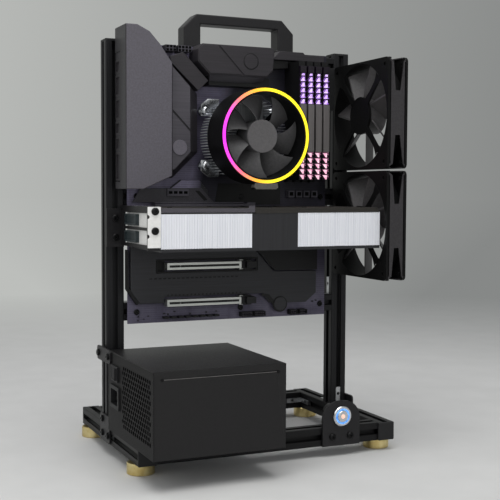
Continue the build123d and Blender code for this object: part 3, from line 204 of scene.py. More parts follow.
def settle(name, mesh, material, like, stands_for=()):
    """A finished mesh as a piece that rides with a solid of the frame and takes the finish it is given."""
    crease = math.radians(15)
    mesh.materials.clear()
    mesh.materials.append(material)
    mesh.polygons.foreach_set("use_smooth", [True] * len(mesh.polygons))
    mesh.set_sharp_from_angle(angle=crease)
    piece = bpy.data.objects.new(name, mesh)
    bpy.context.scene.collection.objects.link(piece)
    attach(piece, nodes[like]["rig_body"])
    if stands_for:
        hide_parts(*stands_for)
    return piece


def rounded(work, edges, width):
    """Rounds edges of a work mesh by a width in mm."""
    bmesh.ops.bevel(work, geom=edges, offset=width / 1000, offset_type="OFFSET", segments=2, profile=0.5,
                    affect="EDGES")


def eased(node, width, material):
    """A copy of a solid whose long sharp edges are rounded by a width in mm; it stands for the solid."""
    touching, level, crease, shortest = 1e-6, math.radians(1), math.radians(28), width * 0.004
    work = bmesh.new()
    work.from_mesh(nodes[node].data)
    bmesh.ops.remove_doubles(work, verts=work.verts, dist=touching)
    bmesh.ops.dissolve_limit(work, angle_limit=level, verts=work.verts, edges=work.edges)
    sharp = [edge for edge in work.edges if len(edge.link_faces) == 2
             and edge.calc_face_angle(0) > crease and edge.calc_length() > shortest]
    rounded(work, sharp, width)
    return settle(node + "_eased", meshed(node + "_eased", work), material, node, (node,))


# Powder coat melts into a fine orange peel; its waves are drawn 2 mm wide to show.
powder_coat = grained("black powder coat", ("#161517", "#1d1c1e"), (0.4, 0.5), 2, 0.03)
eased("carry_handle", 1.2, powder_coat)


# Flat plates: laser cut steel, powder coated, across the joints at the foot of the posts,
# from the left post to the power supply and from the right post to the side fans.
coat(powder_coat, "join_plates", "psu_tie_plate", "fan_straps", "button_plate")


# Power button: a turned stainless housing, a ring of lit blue acrylic and a sprung steel cap.
# Its nut clamps it behind the plate on the front rail, where its barrel is blackened.
origin_x, origin_y = 148.1, -33.5


def at(x, y, z):
    """A place in mm from the left post's front left edge and the floor, in the frame's metres."""
    return Vector(((x - origin_x) / 1000, (y - origin_y) / 1000, z / 1000))


button_x, button_z = 232, 44.5
bezel_face, cap_face, barrel_start = -114.7, -115.45, -110
# The lathe's rings are drawn 1.6 mm apart to show. This turn lays a pattern upright, facing the front.
turning_step, turning_depth = 1.6, 0.04
facing = (math.pi / 2, 0, 0)
stainless, tree, shader, place = start("turned stainless steel", {"Metallic": 1.0, "Roughness": 0.26})
about = add(tree, "ShaderNodeMapping", {"Vector": place, "Location": at(button_x, bezel_face, button_z),
                                        "Rotation": facing}, vector_type="TEXTURE")
turning = add(tree, "ShaderNodeTexWave", {"Vector": about.outputs["Vector"],
                                          "Scale": 1000 * wave_length / turning_step},
              wave_type="RINGS", rings_direction="Z").outputs["Fac"]
tone = add(tree, "ShaderNodeValToRGB", {"Fac": turning}, [(0.2, "#c9cbcf"), (0.8, "#dcdee2")])
depth = add(tree, "ShaderNodeSeparateXYZ", {"Vector": place}).outputs["Y"]
behind = add(tree, "ShaderNodeMapRange", {"Value": depth, "From Min": at(0, barrel_start, 0).y,
                                          "From Max": at(0, barrel_start + 0.5, 0).y})
mixed = add(tree, "ShaderNodeMix", {0: behind.outputs["Result"], 6: tone.outputs["Color"],
                                    7: linear("#141415")}, data_type="RGBA")
relief = add(tree, "ShaderNodeBump", {"Height": turning, "Strength": 0.3, "Distance": turning_depth / 1000})
wire(shader, {"Base Color": mixed.outputs[2], "Normal": relief.outputs["Normal"]})
coat(stainless, "button_housing", "button_cap")
coat(blackened, "button_nut")


def lit(name, stops, size, strength):
    """Lit acrylic: a frosted diffuser whose light clouds a little over a size in mm."""
    material, tree, shader, place = start(name, {"Roughness": 0.35, "Emission Strength": strength})
    cloud = add(tree, "ShaderNodeTexNoise", {"Vector": place, "Scale": 1000 / size, "Detail": 2.0})
    glow = add(tree, "ShaderNodeValToRGB", {"Fac": cloud.outputs["Fac"]}, stops).outputs["Color"]
    wire(shader, {"Emission Color": glow, "Base Color": glow})
    return material


coat(lit("lit blue acrylic", [(0.3, "#3f86e6"), (0.7, "#86c4ff")], 3, 0.55), "button_light_ring")


def disc(work, centre, radius, height, sides=40, axis="-Y"):
    """A slightly tapered round plate in a work mesh, in mm from its back's centre along a world axis."""
    taper = 0.985
    turn = {"-Y": Matrix.Rotation(math.pi / 2, 4, "X"), "+Z": Matrix.Identity(4)}[axis]
    place = Matrix.Translation(at(*centre)) @ turn @ Matrix.Translation((0, 0, height / 2000))
    bmesh.ops.create_cone(work, cap_ends=True, segments=sides, radius1=radius / 1000,
                          radius2=radius / 1000 * taper, depth=height / 1000, matrix=place)


def pressed(name, work, material, like, ease=0.0, stands_for=()):
    """Turns a work mesh of closed solids into a piece, with its edges rounded by an ease in mm."""
    crease = math.radians(40)
    bmesh.ops.recalc_face_normals(work, faces=work.faces)
    if ease:
        rounded(work, [edge for edge in work.edges if edge.calc_face_angle(0) > crease], ease)
    return settle(name, meshed(name, work), material, like, stands_for)


work = bmesh.new()
disc(work, (button_x, cap_face, button_z), 2.4, 0.25)
warm_light = lit("lit warm acrylic", [(0.3, "#f2b7a2"), (0.7, "#ffd9c4")], 2, 0.5)
pressed("button_lamp", work, warm_light, "button_cap")


# Mainboard: a pressed glass fibre board under a dark grey violet solder mask, with copper tracks
# that show through it. It is screwed to the standoffs and carries rows of small soldered parts.
board_face = -8
track_step, track_depth, patch_size = 2.4, 0.04, 28
solder_mask_with_painted_shade_and_light, tree, shader, place = start("solder mask over glass fibre board",
                                         {"Roughness": 0.48, "Specular IOR Level": 0.35})
flat = add(tree, "ShaderNodeMapping", {"Vector": place, "Rotation": facing},
           vector_type="TEXTURE").outputs["Vector"]
tracks = add(tree, "ShaderNodeTexBrick", {"Vector": flat, "Scale": 1000 / track_step, "Mortar Size": 0.09,
                                          "Brick Width": 7.0, "Row Height": 1.0, "Color1": linear("#5a5667"),
                                          "Color2": linear("#615d6f"), "Mortar": linear("#6c687c")})
patches = add(tree, "ShaderNodeTexVoronoi", {"Vector": flat, "Scale": 1000 / patch_size},
              distance="CHEBYCHEV")
shade = add(tree, "ShaderNodeValToRGB", {"Fac": patches.outputs["Distance"]},
            [(0.25, "#ffffff"), (0.6, "#cfccd6")])
mask = add(tree, "ShaderNodeMix", {0: 1.0, 6: tracks.outputs["Color"], 7: shade.outputs["Color"]},
           data_type="RGBA", blend_type="MULTIPLY")
# Towards its top, right of a slanting line, the mask is painted nearly black: painted shade where the board
# lies in the shade of the plates, the cooler and the card. Left of it the mask is paler: painted light. The
# places of both are in the frame's metres.
painted_shade_from, painted_light_from, painted_shade_and_light_to, painted_light_gain = 0.15, 0.26, 0.29, 1.8
line_slope, line_from, line_to = (1, -0.37, 0), -0.166, -0.15
height = add(tree, "ShaderNodeSeparateXYZ", {"Vector": flat}).outputs["Y"]
darker = add(tree, "ShaderNodeMapRange", {"Value": height, "From Min": painted_shade_from, "From Max": painted_shade_and_light_to})
dark = add(tree, "ShaderNodeValToRGB", {"Fac": darker.outputs["Result"]},
           [(0.0, "#ffffff"), (1.0, "#464550")])
lift = add(tree, "ShaderNodeMapRange", {"Value": height, "From Min": painted_light_from, "From Max": painted_shade_and_light_to,
                                        "To Min": 1.0, "To Max": painted_light_gain})
pale = add(tree, "ShaderNodeVectorMath", {0: mask.outputs[2], "Scale": lift.outputs["Result"]},
           operation="SCALE")
slant = add(tree, "ShaderNodeVectorMath", {0: flat, 1: line_slope}, operation="DOT_PRODUCT")
share = add(tree, "ShaderNodeMapRange", {"Value": slant.outputs["Value"], "From Min": line_from,
                                         "From Max": line_to})
mixed = add(tree, "ShaderNodeMix", {0: share.outputs["Result"], 6: pale.outputs["Vector"],
                                    7: dark.outputs["Color"]}, data_type="RGBA", blend_type="MULTIPLY")
relief = add(tree, "ShaderNodeBump", {"Height": tracks.outputs["Fac"], "Strength": 0.4,
                                      "Distance": track_depth / 1000})
wire(shader, {"Base Color": mixed.outputs[2], "Normal": relief.outputs["Normal"]})
coat(solder_mask_with_painted_shade_and_light, "mainboard", "card_board", "psu_circuit")


def node_tree(name, inputs):
    """A geometry node tree that gives pieces, and the sockets of its named inputs."""
    tree = bpy.data.node_groups.new(name, "GeometryNodeTree")
    for label, kind in inputs:
        tree.interface.new_socket(name=label, in_out="INPUT", socket_type="NodeSocket" + kind)
    tree.interface.new_socket(name="Pieces", in_out="OUTPUT", socket_type="NodeSocketGeometry")
    return tree, tree.nodes.new("NodeGroupInput").outputs


def copied(tree, given, points, shape, **more):
    """The end of a node tree: a shape on each point, made real and given its finish."""
    laid = add(tree, "GeometryNodeInstanceOnPoints", {"Points": points, "Instance": shape, **more})
    real = add(tree, "GeometryNodeRealizeInstances", {"Geometry": laid.outputs["Instances"]})
    painted = add(tree, "GeometryNodeSetMaterial", {"Geometry": real.outputs["Geometry"],
                                                    "Material": given["Finish"]})
    add(tree, "NodeGroupOutput", {"Pieces": painted.outputs["Geometry"]})


def grown(name, tree, values):
    """The plain mesh that a node tree makes from named values."""
    holder = bpy.data.objects.new(name, bpy.data.meshes.new(name))
    bpy.context.scene.collection.objects.link(holder)
    modifier = holder.modifiers.new(name, "NODES")
    modifier.node_group = tree
    for item in tree.interface.items_tree:
        if item.in_out == "INPUT":
            modifier[item.identifier] = values[item.name]
    bpy.context.view_layer.update()
    mesh = bpy.data.meshes.new_from_object(holder.evaluated_get(bpy.context.evaluated_depsgraph_get()))
    holder.modifiers.remove(modifier)
    bpy.data.objects.remove(holder)
    mesh.name = name
    return mesh


def spare(work):
    """A work mesh as an object that a node tree copies."""
    bmesh.ops.recalc_face_normals(work, faces=work.faces)
    return bpy.data.objects.new("pattern", meshed("pattern", work))


def square(left, right, low, high):
    """The corners of a square outline across and up, in mm."""
    return [(left, low), (right, low), (right, high), (left, high)]


strewn, given = node_tree("small parts soldered on a board", (
    ("Ground", "Object"), ("Spacing", "Float"), ("Density", "Float"), ("Seed", "Int"),
    ("Least size", "Vector"), ("Largest size", "Vector"), ("Finish", "Material")))
ground = add(strewn, "GeometryNodeObjectInfo", {"Object": given["Ground"]})
spots = add(strewn, "GeometryNodeDistributePointsOnFaces",
            {"Mesh": ground.outputs["Geometry"], "Distance Min": given["Spacing"],
             "Density Max": given["Density"], "Seed": given["Seed"]}, distribute_method="POISSON")
sizes = add(strewn, "FunctionNodeRandomValue", {0: given["Least size"], 1: given["Largest size"],
                                                "Seed": given["Seed"]}, data_type="FLOAT_VECTOR")
block = add(strewn, "GeometryNodeMeshCube", {"Size": (1, 1, 1)})
copied(strewn, given, spots.outputs["Points"], block.outputs["Mesh"], Scale=sizes.outputs[0])

# Fired ceramic is dull, and its tone differs a little from part to part.
ceramic = grained("fired ceramic chip parts", ("#17161a", "#2e2b33"), (0.4, 0.6), 5, 0.01)
work = bmesh.new()
for field in ((28, 48, 146, 152), (60, 128, 151, 155), (240, 262, 158, 164), (100, 108, 398, 404),
              (186, 206, 300, 306), (188, 206, 380, 402)):
    work.faces.new([work.verts.new(at(x, board_face, z)) for x, z in square(*field)])
fields = spare(work)
mesh = grown("chip_parts", strewn, {"Ground": fields, "Spacing": 0.0042, "Density": 60000.0, "Seed": 7,
                                    "Least size": (0.0009, 0.0012, 0.0009),
                                    "Largest size": (0.0026, 0.0028, 0.0022), "Finish": ceramic})
bpy.data.objects.remove(fields)
settle("board_chip_parts", mesh, ceramic, "mainboard")


# Rear connectors and their cover: blackened steel shells along the board's left edge, under a tall
# grey moulded cover with broken corners that hooks over them. Its left side is a darker grey, painted shade.
# The shells have a dull dark skin, and the mouldings a fine even grain.
shell_steel = grained("blackened steel port shells", ("#302e31", "#3b393c"), (0.36, 0.5), 4, 0.01,
                      Metallic=0.3)
coat(shell_steel, "io_ports")
moulded_grey = grained("moulded grey ABS", ("#565359", "#605d65"), (0.4, 0.5), 1.8, 0.02)
shade_painted_grey = grained("moulded grey ABS in painted shade", ("#2a292c", "#323134"), (0.42, 0.52), 1.8, 0.02)
shroud = eased("io_shroud", 0.9, moulded_grey)
shroud.data.materials.append(shade_painted_grey)
# Faces that look left take the darker grey: painted shade on the cover's left side.
outward = -0.3
for face in shroud.data.polygons:
    face.material_index = int(face.normal.x < outward)


def bridge(work, first, second):
    """A solid in a work mesh between two loops of places in mm, with as many corners each."""
    low, high = ([work.verts.new(at(*spot)) for spot in loop] for loop in (first, second))
    work.faces.new(low)
    work.faces.new(high)
    for index, vert in enumerate(low):
        work.faces.new((vert, low[index - 1], high[index - 1], high[index]))


def prism(work, outline, shift):
    """A solid in a work mesh: a flat outline of places in mm, pushed along a shift in mm."""
    bridge(work, outline, [[a + b for a, b in zip(spot, shift)] for spot in outline])


def raised(work, outline, back, front):
    """A solid in a work mesh: an outline of places across and up in mm, from a back to a front."""
    prism(work, [(x, back, z) for x, z in outline], (0, front - back, 0))


def plates(name, shapes, material, like, ease=0.0, stands_for=()):
    """A piece of raised solids, each given by its outline, its back and its front."""
    work = bmesh.new()
    for outline, back, front in shapes:
        raised(work, outline, back, front)
    return pressed(name, work, material, like, ease, stands_for)


# Thin bars in the side's darker grey, painted shade, close the gaps between the shells.
work = bmesh.new()
for low, high in ((330.1, 332.4), (346.6, 348.9), (363.1, 365.4), (387.6, 389.9), (412.1, 414.4),
                  (428.6, 436.3)):
    prism(work, [(x, y, low) for x, y in square(8.7, 9.7, -24.8, -8.2)], (0, 0, high - low))
pressed("port_gap_bars", work, shade_painted_grey, "io_shroud")


# Heatsinks of the supply stages: extruded aluminium blocks, milled and painted grey, with thin
# cover plates that leave a slanting groove, and a plain round disc on two of them.
block_face, plate_face = -35, -36
# Paint over brushed metal keeps fine lines along the brushing.
painted_block = grained("brushed aluminium under dark grey paint", ("#2d2b2e", "#373438"), (0.38, 0.52),
                        1.4, 0.02, (40, 1, 1), Metallic=0.2)
work = bmesh.new()
for outline, front in (
        ([(62.5, 424.5), (84.6, 402), (85.2, 331.3), (66, 311.5), (62.5, 311.5)], block_face),
        ([(62.5, 428), (62.5, 434), (77.3, 439.2), (106.5, 409.7), (94.6, 398.5)], -32),
        ([(93, 430.2), (93, 443.4), (98.6, 449.4), (182, 449.4), (185, 446.4), (183.6, 424), (176, 416.4),
          (106.5, 416.4)], block_face),
        ([(187.5, 438.4), (197.2, 448.2), (226.9, 448.2), (229.5, 445.6), (254, 445.6), (254, 438.4)], -24)):
    raised(work, outline, board_face, front)
# A bevel runs back under the top block, and skirts spread from the left block's front to a rim.
bridge(work, *([(x, -27.2, 416.3), (x, -34.6, 416.3), (inner, -27.9, 409.6), (inner, -27.2, 409.6)]
               for x, inner in ((107.2, 109), (175.6, 170))))
skirt_face, rim_face = -34.4, -22
skirt = [((84.6, 401.5), (97, 396)), ((85.2, 331.3), (97.4, 331.8)), ((66, 311.5), (68, 303.4)),
         ((62.5, 311.5), (62.5, 303.4))]
for ends in zip(skirt, skirt[1:]):
    bridge(work, *([(x, board_face, z), (x, skirt_face, z), (rim_x, rim_face, rim_z),
                    (rim_x, board_face, rim_z)] for (x, z), (rim_x, rim_z) in ends))
pressed("heatsink_blocks", work, painted_block, "power_heatsinks", 0.4, ("power_heatsinks",))
# The left plates take a paler copy of the blocks' paint: painted light where the light falls on the left
# block.
grey_paint_and_painted_light = grained("brushed aluminium under grey paint", ("#4a484e", "#565359"), (0.38, 0.5), 1.4, 0.02,
                      (40, 1, 1), Metallic=0.2)
plates("heatsink_left_plates", [(outline, block_face, plate_face) for outline in (
    [(63.3, 377), (84, 356.2), (83.8, 401.5), (63.3, 422.4)],
    [(63.3, 374.2), (84, 353.4), (84.4, 331.6), (65.6, 312.3), (63.3, 312.3)])],
    grey_paint_and_painted_light, "power_heatsinks", 0.35)
top_disc = (155.8, plate_face, 432.7)
work = bmesh.new()
for outline in ([(99, 448.4), (115.4, 448.4), (144.6, 418), (107.2, 417.4), (94, 430.6), (94, 443)],
                [(118, 448.4), (181.6, 448.4), (184, 446), (182.6, 424.4), (175.4, 417.4), (147.8, 417.4)]):
    raised(work, outline, block_face, plate_face)
disc(work, top_disc, 8.2, 0.6)
pressed("heatsink_top_plates", work, painted_block, "power_heatsinks", 0.35)
# Flat black paint takes the shine off what lies between the plates, and the same black is laid on as painted
# shade.
black_paint_and_painted_shade = grained("black paint and painted shade", ("#0d0d0e", "#131314"), (0.5, 0.6), 2, 0.01)
work = bmesh.new()
disc(work, top_disc, 9.2, 0.2)
# The black strip under the top block and the black body below the right slab are painted shade.
raised(work, square(109, 182, 405.6, 416.3), board_face, -27)
raised(work, [(187.5, 428), (209.6, 430), (209.6, 438.2), (187.5, 438.2)], board_face, -20)
pressed("heatsink_black_parts", work, black_paint_and_painted_shade, "power_heatsinks", 0.2)
# Satin paint gives the disc an even, soft shine.
disc_paint = grained("satin grey paint", ("#68656d", "#736f78"), (0.34, 0.42), 2, 0.01, Metallic=0.2)
work = bmesh.new()
disc(work, (71.8, plate_face, 336), 8.4, 0.9)
pressed("heatsink_disc", work, disc_paint, "power_heatsinks", 0.3)


# Sockets and pin headers: moulded black nylon with square cells, soldered to the board's edges.
# Rows of tinned pins stand in the open headers.
coat(moulded_black, "board_sockets")
rows, given = node_tree("rows of like pieces", (
    ("Pattern", "Object"), ("Start", "Vector"), ("Along count", "Int"), ("Along step", "Vector"),
    ("Across count", "Int"), ("Across step", "Vector"), ("Finish", "Material")))
first = add(rows, "GeometryNodeMeshLine", {"Count": given["Along count"], "Start Location": given["Start"],
                                           "Offset": given["Along step"]})
second = add(rows, "GeometryNodeMeshLine", {"Count": given["Across count"], "Offset": given["Across step"]})
lines = add(rows, "GeometryNodeInstanceOnPoints", {"Points": first.outputs["Mesh"],
                                                   "Instance": second.outputs["Mesh"]})
spots = add(rows, "GeometryNodeRealizeInstances", {"Geometry": lines.outputs["Instances"]})
pattern = add(rows, "GeometryNodeObjectInfo", {"Object": given["Pattern"]})
copied(rows, given, spots.outputs["Geometry"], pattern.outputs["Geometry"])


def repeated(name, draw, first, along, material, across=(1, (0, 0, 1))):
    """A plain mesh of a drawn shape in rows: along and across are a count and a step in mm."""
    work = bmesh.new()
    draw(work)
    shape = spare(work)
    mesh = grown(name, rows, {"Pattern": shape, "Start": at(*first), "Finish": material,
                              "Along count": along[0], "Along step": [s / 1000 for s in along[1]],
                              "Across count": across[0], "Across step": [s / 1000 for s in across[1]]})
    bpy.data.objects.remove(shape)
    return mesh


def gathered(name, meshes, material, like):
    """Several plain meshes as one piece."""
    work = bmesh.new()
    for mesh in meshes:
        work.from_mesh(mesh)
        bpy.data.meshes.remove(mesh)
    settle(name, meshed(name, work), material, like)


def bar(size):
    """A drawing of a square bar of a size in mm, centred on its place."""
    def draw(work):
        bmesh.ops.create_cube(work, size=1, matrix=Matrix.Diagonal([s / 1000 for s in size] + [1]))
    return draw


# Tin gives the pins a soft grey shine.
tinned = grained("tinned brass pins", ("#5b5660", "#7a7580"), (0.3, 0.4), 3, 0.01, Metallic=0.8)
pins = [repeated("pins", bar((0.7, 7, 0.7)), (x, -12.5, 147.6), (count, (2.4, 0, 0)), tinned,
                 (2, (0, 0, 2.2))) for x, count in ((156.7, 5), (172.7, 5), (218.7, 3), (230.7, 3))]
gathered("header_pins", pins, tinned, "board_sockets")
# Their ends stand out of the board's back as short soldered points, as do those of the slots.
memory_points = [(x, 304, 58, (0, 0, 2.2), (3.2, 0, 0)) for x in (213, 222.8, 232.6, 242.4)]
slot_points = [(67, z, 40, (2.1, 0, 0), (0, 0, 3.3)) for z in (163.8, 204.4, 265.4)]
port_points = [(24, 320, 50, (0, 0, 2.4), (5, 0, 0))]
points = [repeated("points", bar((0.9, 0.8, 0.9)), (x, -6.1, z), (count, step), tinned, (2, across))
          for x, z, count, step, across in memory_points + slot_points + port_points]
gathered("solder_points", points, tinned, "mainboard")
plates("edge_socket", [(square(256.5, 270.5, 384, 433), board_face, -20)], moulded_black,
       "board_sockets", 0.4)
# Glass fibre makes the grey nylon slightly mottled.
socket_grey = grained("glass filled grey nylon", ("#47454c", "#524f58"), (0.4, 0.5), 2, 0.02)
mouths = [(square(61.6, 73.4, 440.9, 447.8), -20.4), (square(75.6, 91.4, 440.9, 447.8), -20.4),
          (square(64.4, 89.2, 283.6, 291.4), -17.4)]
mouths += [(square(left, left + 8, 282.4, 290), -14) for left in (214, 224, 234, 244)]
plates("socket_mouths", [(outline, board_face, front) for outline, front in mouths], socket_grey,
       "board_sockets", 0.2)
# Deep in the cells the nylon has no shine: flat near black bars stand for the wells, black nylon and painted
# shade.
black_nylon_and_well_shade = grained("black nylon with painted shade in the socket wells", ("#030303", "#060606"), (0.6, 0.7), 2, 0.01,
                     Specular_IOR_Level=0.05)
cells = [repeated("cells", bar((2.9, 0.3, 2.6)), (x, -20.5, 442.6), (count, (4, 0, 0)), black_nylon_and_well_shade,
                  (2, (0, 0, 3.5))) for x, count in ((63.5, 3), (77.5, 4))]
cells += [repeated("cells", bar((4.2, 0.3, 3)), (68, -17.5, 287.5), (4, (5.9, 0, 0)), black_nylon_and_well_shade),
          repeated("cells", bar((4.6, 0.3, 4.2)), (218, -14.1, 286.4), (4, (10, 0, 0)), black_nylon_and_well_shade)]
gathered("socket_cells", cells, black_nylon_and_well_shade, "board_sockets")
headers = repeated("edge_headers", bar((5.8, 7, 2.2)), (64.4, -11.5, 149), (8, (8.6, 0, 0)), moulded_black)
settle("edge_headers", headers, moulded_black, "board_sockets")


# Memory: four modules in long moulded slots. Each wears folded aluminium covers and a brushed front
# bar, with rows of lit facets on beds of smoked acrylic near both of its ends.
coat(moulded_black, "memory_slots")
# Brushing leaves fine lines along the modules.
cover_paint = grained("brushed aluminium covers painted dark", ("#121213", "#1a191b"), (0.42, 0.54), 1.2,
                      0.01, (1, 1, 40), Metallic=0.3)
coat(cover_paint, "memory_modules")
bar_paint = grained("brushed grey aluminium bars", ("#666262", "#726e6d"), (0.36, 0.46), 1.2, 0.01,
                    (1, 1, 40), Metallic=0.3)
# Smoked acrylic is nearly black, with a clear shine.
smoked = grained("smoked acrylic", ("#120c15", "#1a121e"), (0.25, 0.35), 4, 0.01)
module_pitch, half_module = 9.8, 3.8
module_x = [214.6 + module_pitch * index for index in range(4)]
module_back, bed_face = -45, -47.6
for name, material, spans, ease, stands_for in (
        ("memory_front_bars", bar_paint, ((333.8, 387.2, -50),), 0.3, ("memory_light_bars",)),
        ("memory_facet_beds", smoked, ((302.3, 333.6, bed_face), (387.4, 422, bed_face), (422.2, 430, -49)),
         0.2, ())):
    plates(name, [(square(x - half_module, x + half_module, low, high), module_back, front)
                  for x in module_x for low, high, front in spans],
           material, "memory_light_bars", ease, stands_for)


def facet(corners):
    """A drawing of a facet that slopes forward from its first corner, with places in mm."""
    sunk, slope = 0.4, 0.9

    def draw(work):
        back = [work.verts.new(Vector((x, sunk, z)) / 1000) for x, z in corners]
        front = [work.verts.new(Vector((x, -sunk - slope * index / len(corners), z)) / 1000)
                 for index, (x, z) in enumerate(corners)]
        work.faces.new(back)
        for index in range(1, len(front) - 1):
            work.faces.new((front[0], front[index], front[index + 1]))
        for index, vert in enumerate(back):
            work.faces.new((vert, back[index - 1], front[index - 1], front[index]))
    return draw


# Each facet shows a bright and a deep copy of its lit acrylic side by side: painted light and painted shade
# on its two slopes.
violet_painted_light = lit("lit lavender acrylic", [(0.35, "#b98aec"), (0.65, "#e2caf7")], 3, 0.8)
violet_painted_shade = lit("lit violet acrylic in painted shade", [(0.3, "#6b3a9c"), (0.7, "#9468c4")], 4, 0.6)
pink_painted_light = lit("lit pink acrylic", [(0.35, "#f3a4c3"), (0.65, "#fad8e5")], 3, 0.8)
pink_painted_shade = lit("lit pink acrylic in painted shade", [(0.3, "#8e5474"), (0.7, "#ba86a0")], 4, 0.6)
violet_low, pink_low, facet_step = 387.8, 302.4, 6.25
for name, shapes, low, count, material in (
        ("memory_violet_facets", [[(-3.0, 0.3), (1.9, 0.3), (1.9, 4.9), (0.1, 4.9)]], violet_low, 5,
         violet_painted_light),
        ("memory_violet_ends", [[(-1.8, 0.3), (1.9, 0.3), (1.9, 2.6), (-0.8, 2.6)]],
         violet_low + 5 * facet_step, 1, violet_painted_light),
        ("memory_deep_violet_facets", [[(2.3, 0.5), (3.7, 0.5), (3.7, 1.5), (2.3, 1.5)],
                                       [(-3.8, 1.6), (-3.2, 1.6), (-0.4, 5.6), (-1.2, 5.6)]], violet_low, 5,
         violet_painted_shade),
        ("memory_pink_facets", [[(0.1, 0.7), (1.6, 0.7), (1.6, 5.3), (-3.4, 5.3)]], pink_low, 5,
         pink_painted_light),
        ("memory_deep_pink_facets", [[(2.0, 4.2), (3.7, 3.2), (3.7, 4.0), (2.0, 5.2)],
                                     [(-3.8, 5.6), (-3.8, 5.1), (3.7, 5.6), (3.7, 6.1)]], pink_low, 5,
         pink_painted_shade)):
    meshes = [repeated(name, facet(corners), (module_x[0], bed_face, low), (4, (module_pitch, 0, 0)),
                       material, (count, (0, 0, facet_step))) for corners in shapes]
    gathered(name, meshes, material, "memory_light_bars")


# Expansion slots: a black contact body in a steel sheath, with a key across its groove and a
# pivoting black latch at the end of each free one.
# Rolling leaves the steel bright, with fine lines along the slot.
sheath = grained("bright rolled steel sheath", ("#a7a9a6", "#c9cbc7"), (0.3, 0.42), 2, 0.01, (30, 1, 1),
                 Metallic=0.9)
coat(sheath, "expansion_slots")
coat(moulded_black, "lower_slot_latch", "upper_slot_latch")
slot_z = (165.46, 206.1)
plates("slot_contact_bodies", [(square(left, right, z - 1.25, z + 1.25), -19.1, -19.45)
                               for z in slot_z for left, right in ((66.2, 78), (79.6, 149.8))],
       moulded_black, "expansion_slots")
blocks = []
for z in slot_z:
    blocks.append((square(152.6, 158.2, z - 4.6, z + 4.6), -17.5, -18.7))
    blocks += [(square(156, 166, z + side * 4.2, z + side * 5.6), -16.1, -17.5) for side in (-1, 1)]
plates("slot_end_blocks", blocks, moulded_black, "expansion_slots", 0.2)
plates("card_slot_rim", [
    ([(49, 271), (168.6, 271), (169.6, 276.6), (160.4, 277), (158.4, 275), (49, 275)], board_face, -20.3),
    ([(49, 275.4), (157, 275.4), (156, 276.8), (51, 276.8)], board_face, -17)],
    socket_grey, "expansion_slots", 0.4)


# Board covers: pressed aluminium plates over the drives and the control chip, painted black with
# a faint sheen. Rows of short vents lie below the upper slot, and a dark frame round it.
cover_face = -14
cover_black = grained("black paint over brushed aluminium", ("#252528", "#2f2f33"), (0.4, 0.5), 1.6, 0.01,
                      (30, 1, 1), Sheen_Weight=0.08)
eased("board_covers", 0.5, cover_black)
# The vents are flat black bars on the plate: painted shade for their openings.
vents = [repeated("vents", bar((width, 0.5, height)), (left, -14.05, z), (20, (step, 0, 0)), black_paint_and_painted_shade)
         for width, height, left, z, step in ((3.4, 1.5, 46, 192.6, 5.4), (1.8, 2, 66, 173.8, 4.6))]
gathered("cover_vents", vents, black_paint_and_painted_shade, "board_covers")
work = bmesh.new()
for edges in ((52.5, 174.4, 198.6, 200.2), (52.5, 174.4, 212, 213.6), (52.5, 54.1, 200.2, 212),
              (172.8, 174.4, 200.2, 212)):
    raised(work, square(*edges), cover_face, -14.5)
raised(work, square(54, 64, 200, 212), board_face, -9)
raised(work, [(124, 274), (206, 274), (206, 298), (128, 298)], board_face, -8.8)
raised(work, [(197, 198.2), (252, 197.5), (252, 243), (156, 243)], cover_face, -14.7)
raised(work, [(18.4, 225), (20.4, 225), (21, 183.4), (32.6, 166.4), (30.2, 164.2), (18.4, 182)],
       board_face, -14.3)
raised(work, [(180.4, 172), (190, 170.4), (197, 162), (194.4, 158.6), (187, 167), (180.4, 169)], -13, -14.3)
disc(work, (204, -13.5, 158.6), 9.4, 0.8)
raised(work, [(97.5, 289.6), (102.6, 289.6), (112.6, 279.6), (108.6, 278.4)], -14.8, -15.2)
pressed("cover_black_parts", work, black_paint_and_painted_shade, "board_covers", 0.15)
work = bmesh.new()
disc(work, (204, -13.6, 158.9), 7.8, 1.2)
pressed("cover_disc", work, cover_black, "board_covers", 0.3)
plates("cover_violet_plate", [([(68.5, 291), (105, 291), (105, 298.8), (103, 301), (82, 301)], -13.6,
                               -14.3)], solder_mask_with_painted_shade_and_light, "board_covers", 0.2)
# The upper plate's paint is a plain dark grey with a fine grain.
upper_paint = grained("dark grey painted cover", ("#36343a", "#413f45"), (0.4, 0.5), 1.6, 0.01)
plates("cover_upper_plate", [([(34, 291.7), (105.2, 292.8), (120, 276.5), (25.2, 276.5)], -13, -14.8)],
       upper_paint, "board_covers", 0.3)


# Processor and cooler: a stack of pressed aluminium fins on a base, held over the processor by
# chromed bars and spring screws, with a round black fan duct clipped on its front.
cooler_x, cooler_z = 145.1, 347.56
duct_face = -100
# Chrome mirrors what lies round it.
chrome = grained("chrome plated steel", ("#c2c4c8", "#dadce0"), (0.14, 0.22), 6, 0.004, Metallic=1.0)
coat(chrome, "cooler_bars", "cooler_screws")
coat(zinc, "processor")
# Rolled fins are bright, with streaks along the sheet.
rolled_fins = grained("rolled aluminium fins", ("#b9bbbf", "#dddfe3"), (0.3, 0.44), 1.2, 0.01, (1, 20, 20),
                      Metallic=0.4)
coat(rolled_fins, "cooler_fins")
# Satin ABS is deep black with a weak, soft shine.
satin_black = grained("satin black ABS", ("#0a0a0b", "#111112"), (0.36, 0.46), 2, 0.02,
                      Specular_IOR_Level=0.12)
coat(satin_black, "cooler_duct")
upper_clip = [(99.5, 371.6), (112, 371.6), (112.6, 380), (121, 381.4), (121, 390.4), (107.6, 390.4),
              (99.5, 384)]
lower_clip = [(x, 2 * cooler_z - z) for x, z in upper_clip]
work = bmesh.new()
for clip in (upper_clip, lower_clip):
    raised(work, clip, -26.2, -27.9)
    middle = sum(z for x, z in clip) / len(clip)
    raised(work, square(114, 120, middle + 2, middle - 2), -21, -26.3)
pressed("cooler_clips", work, chrome, "cooler_bars", 0.35)

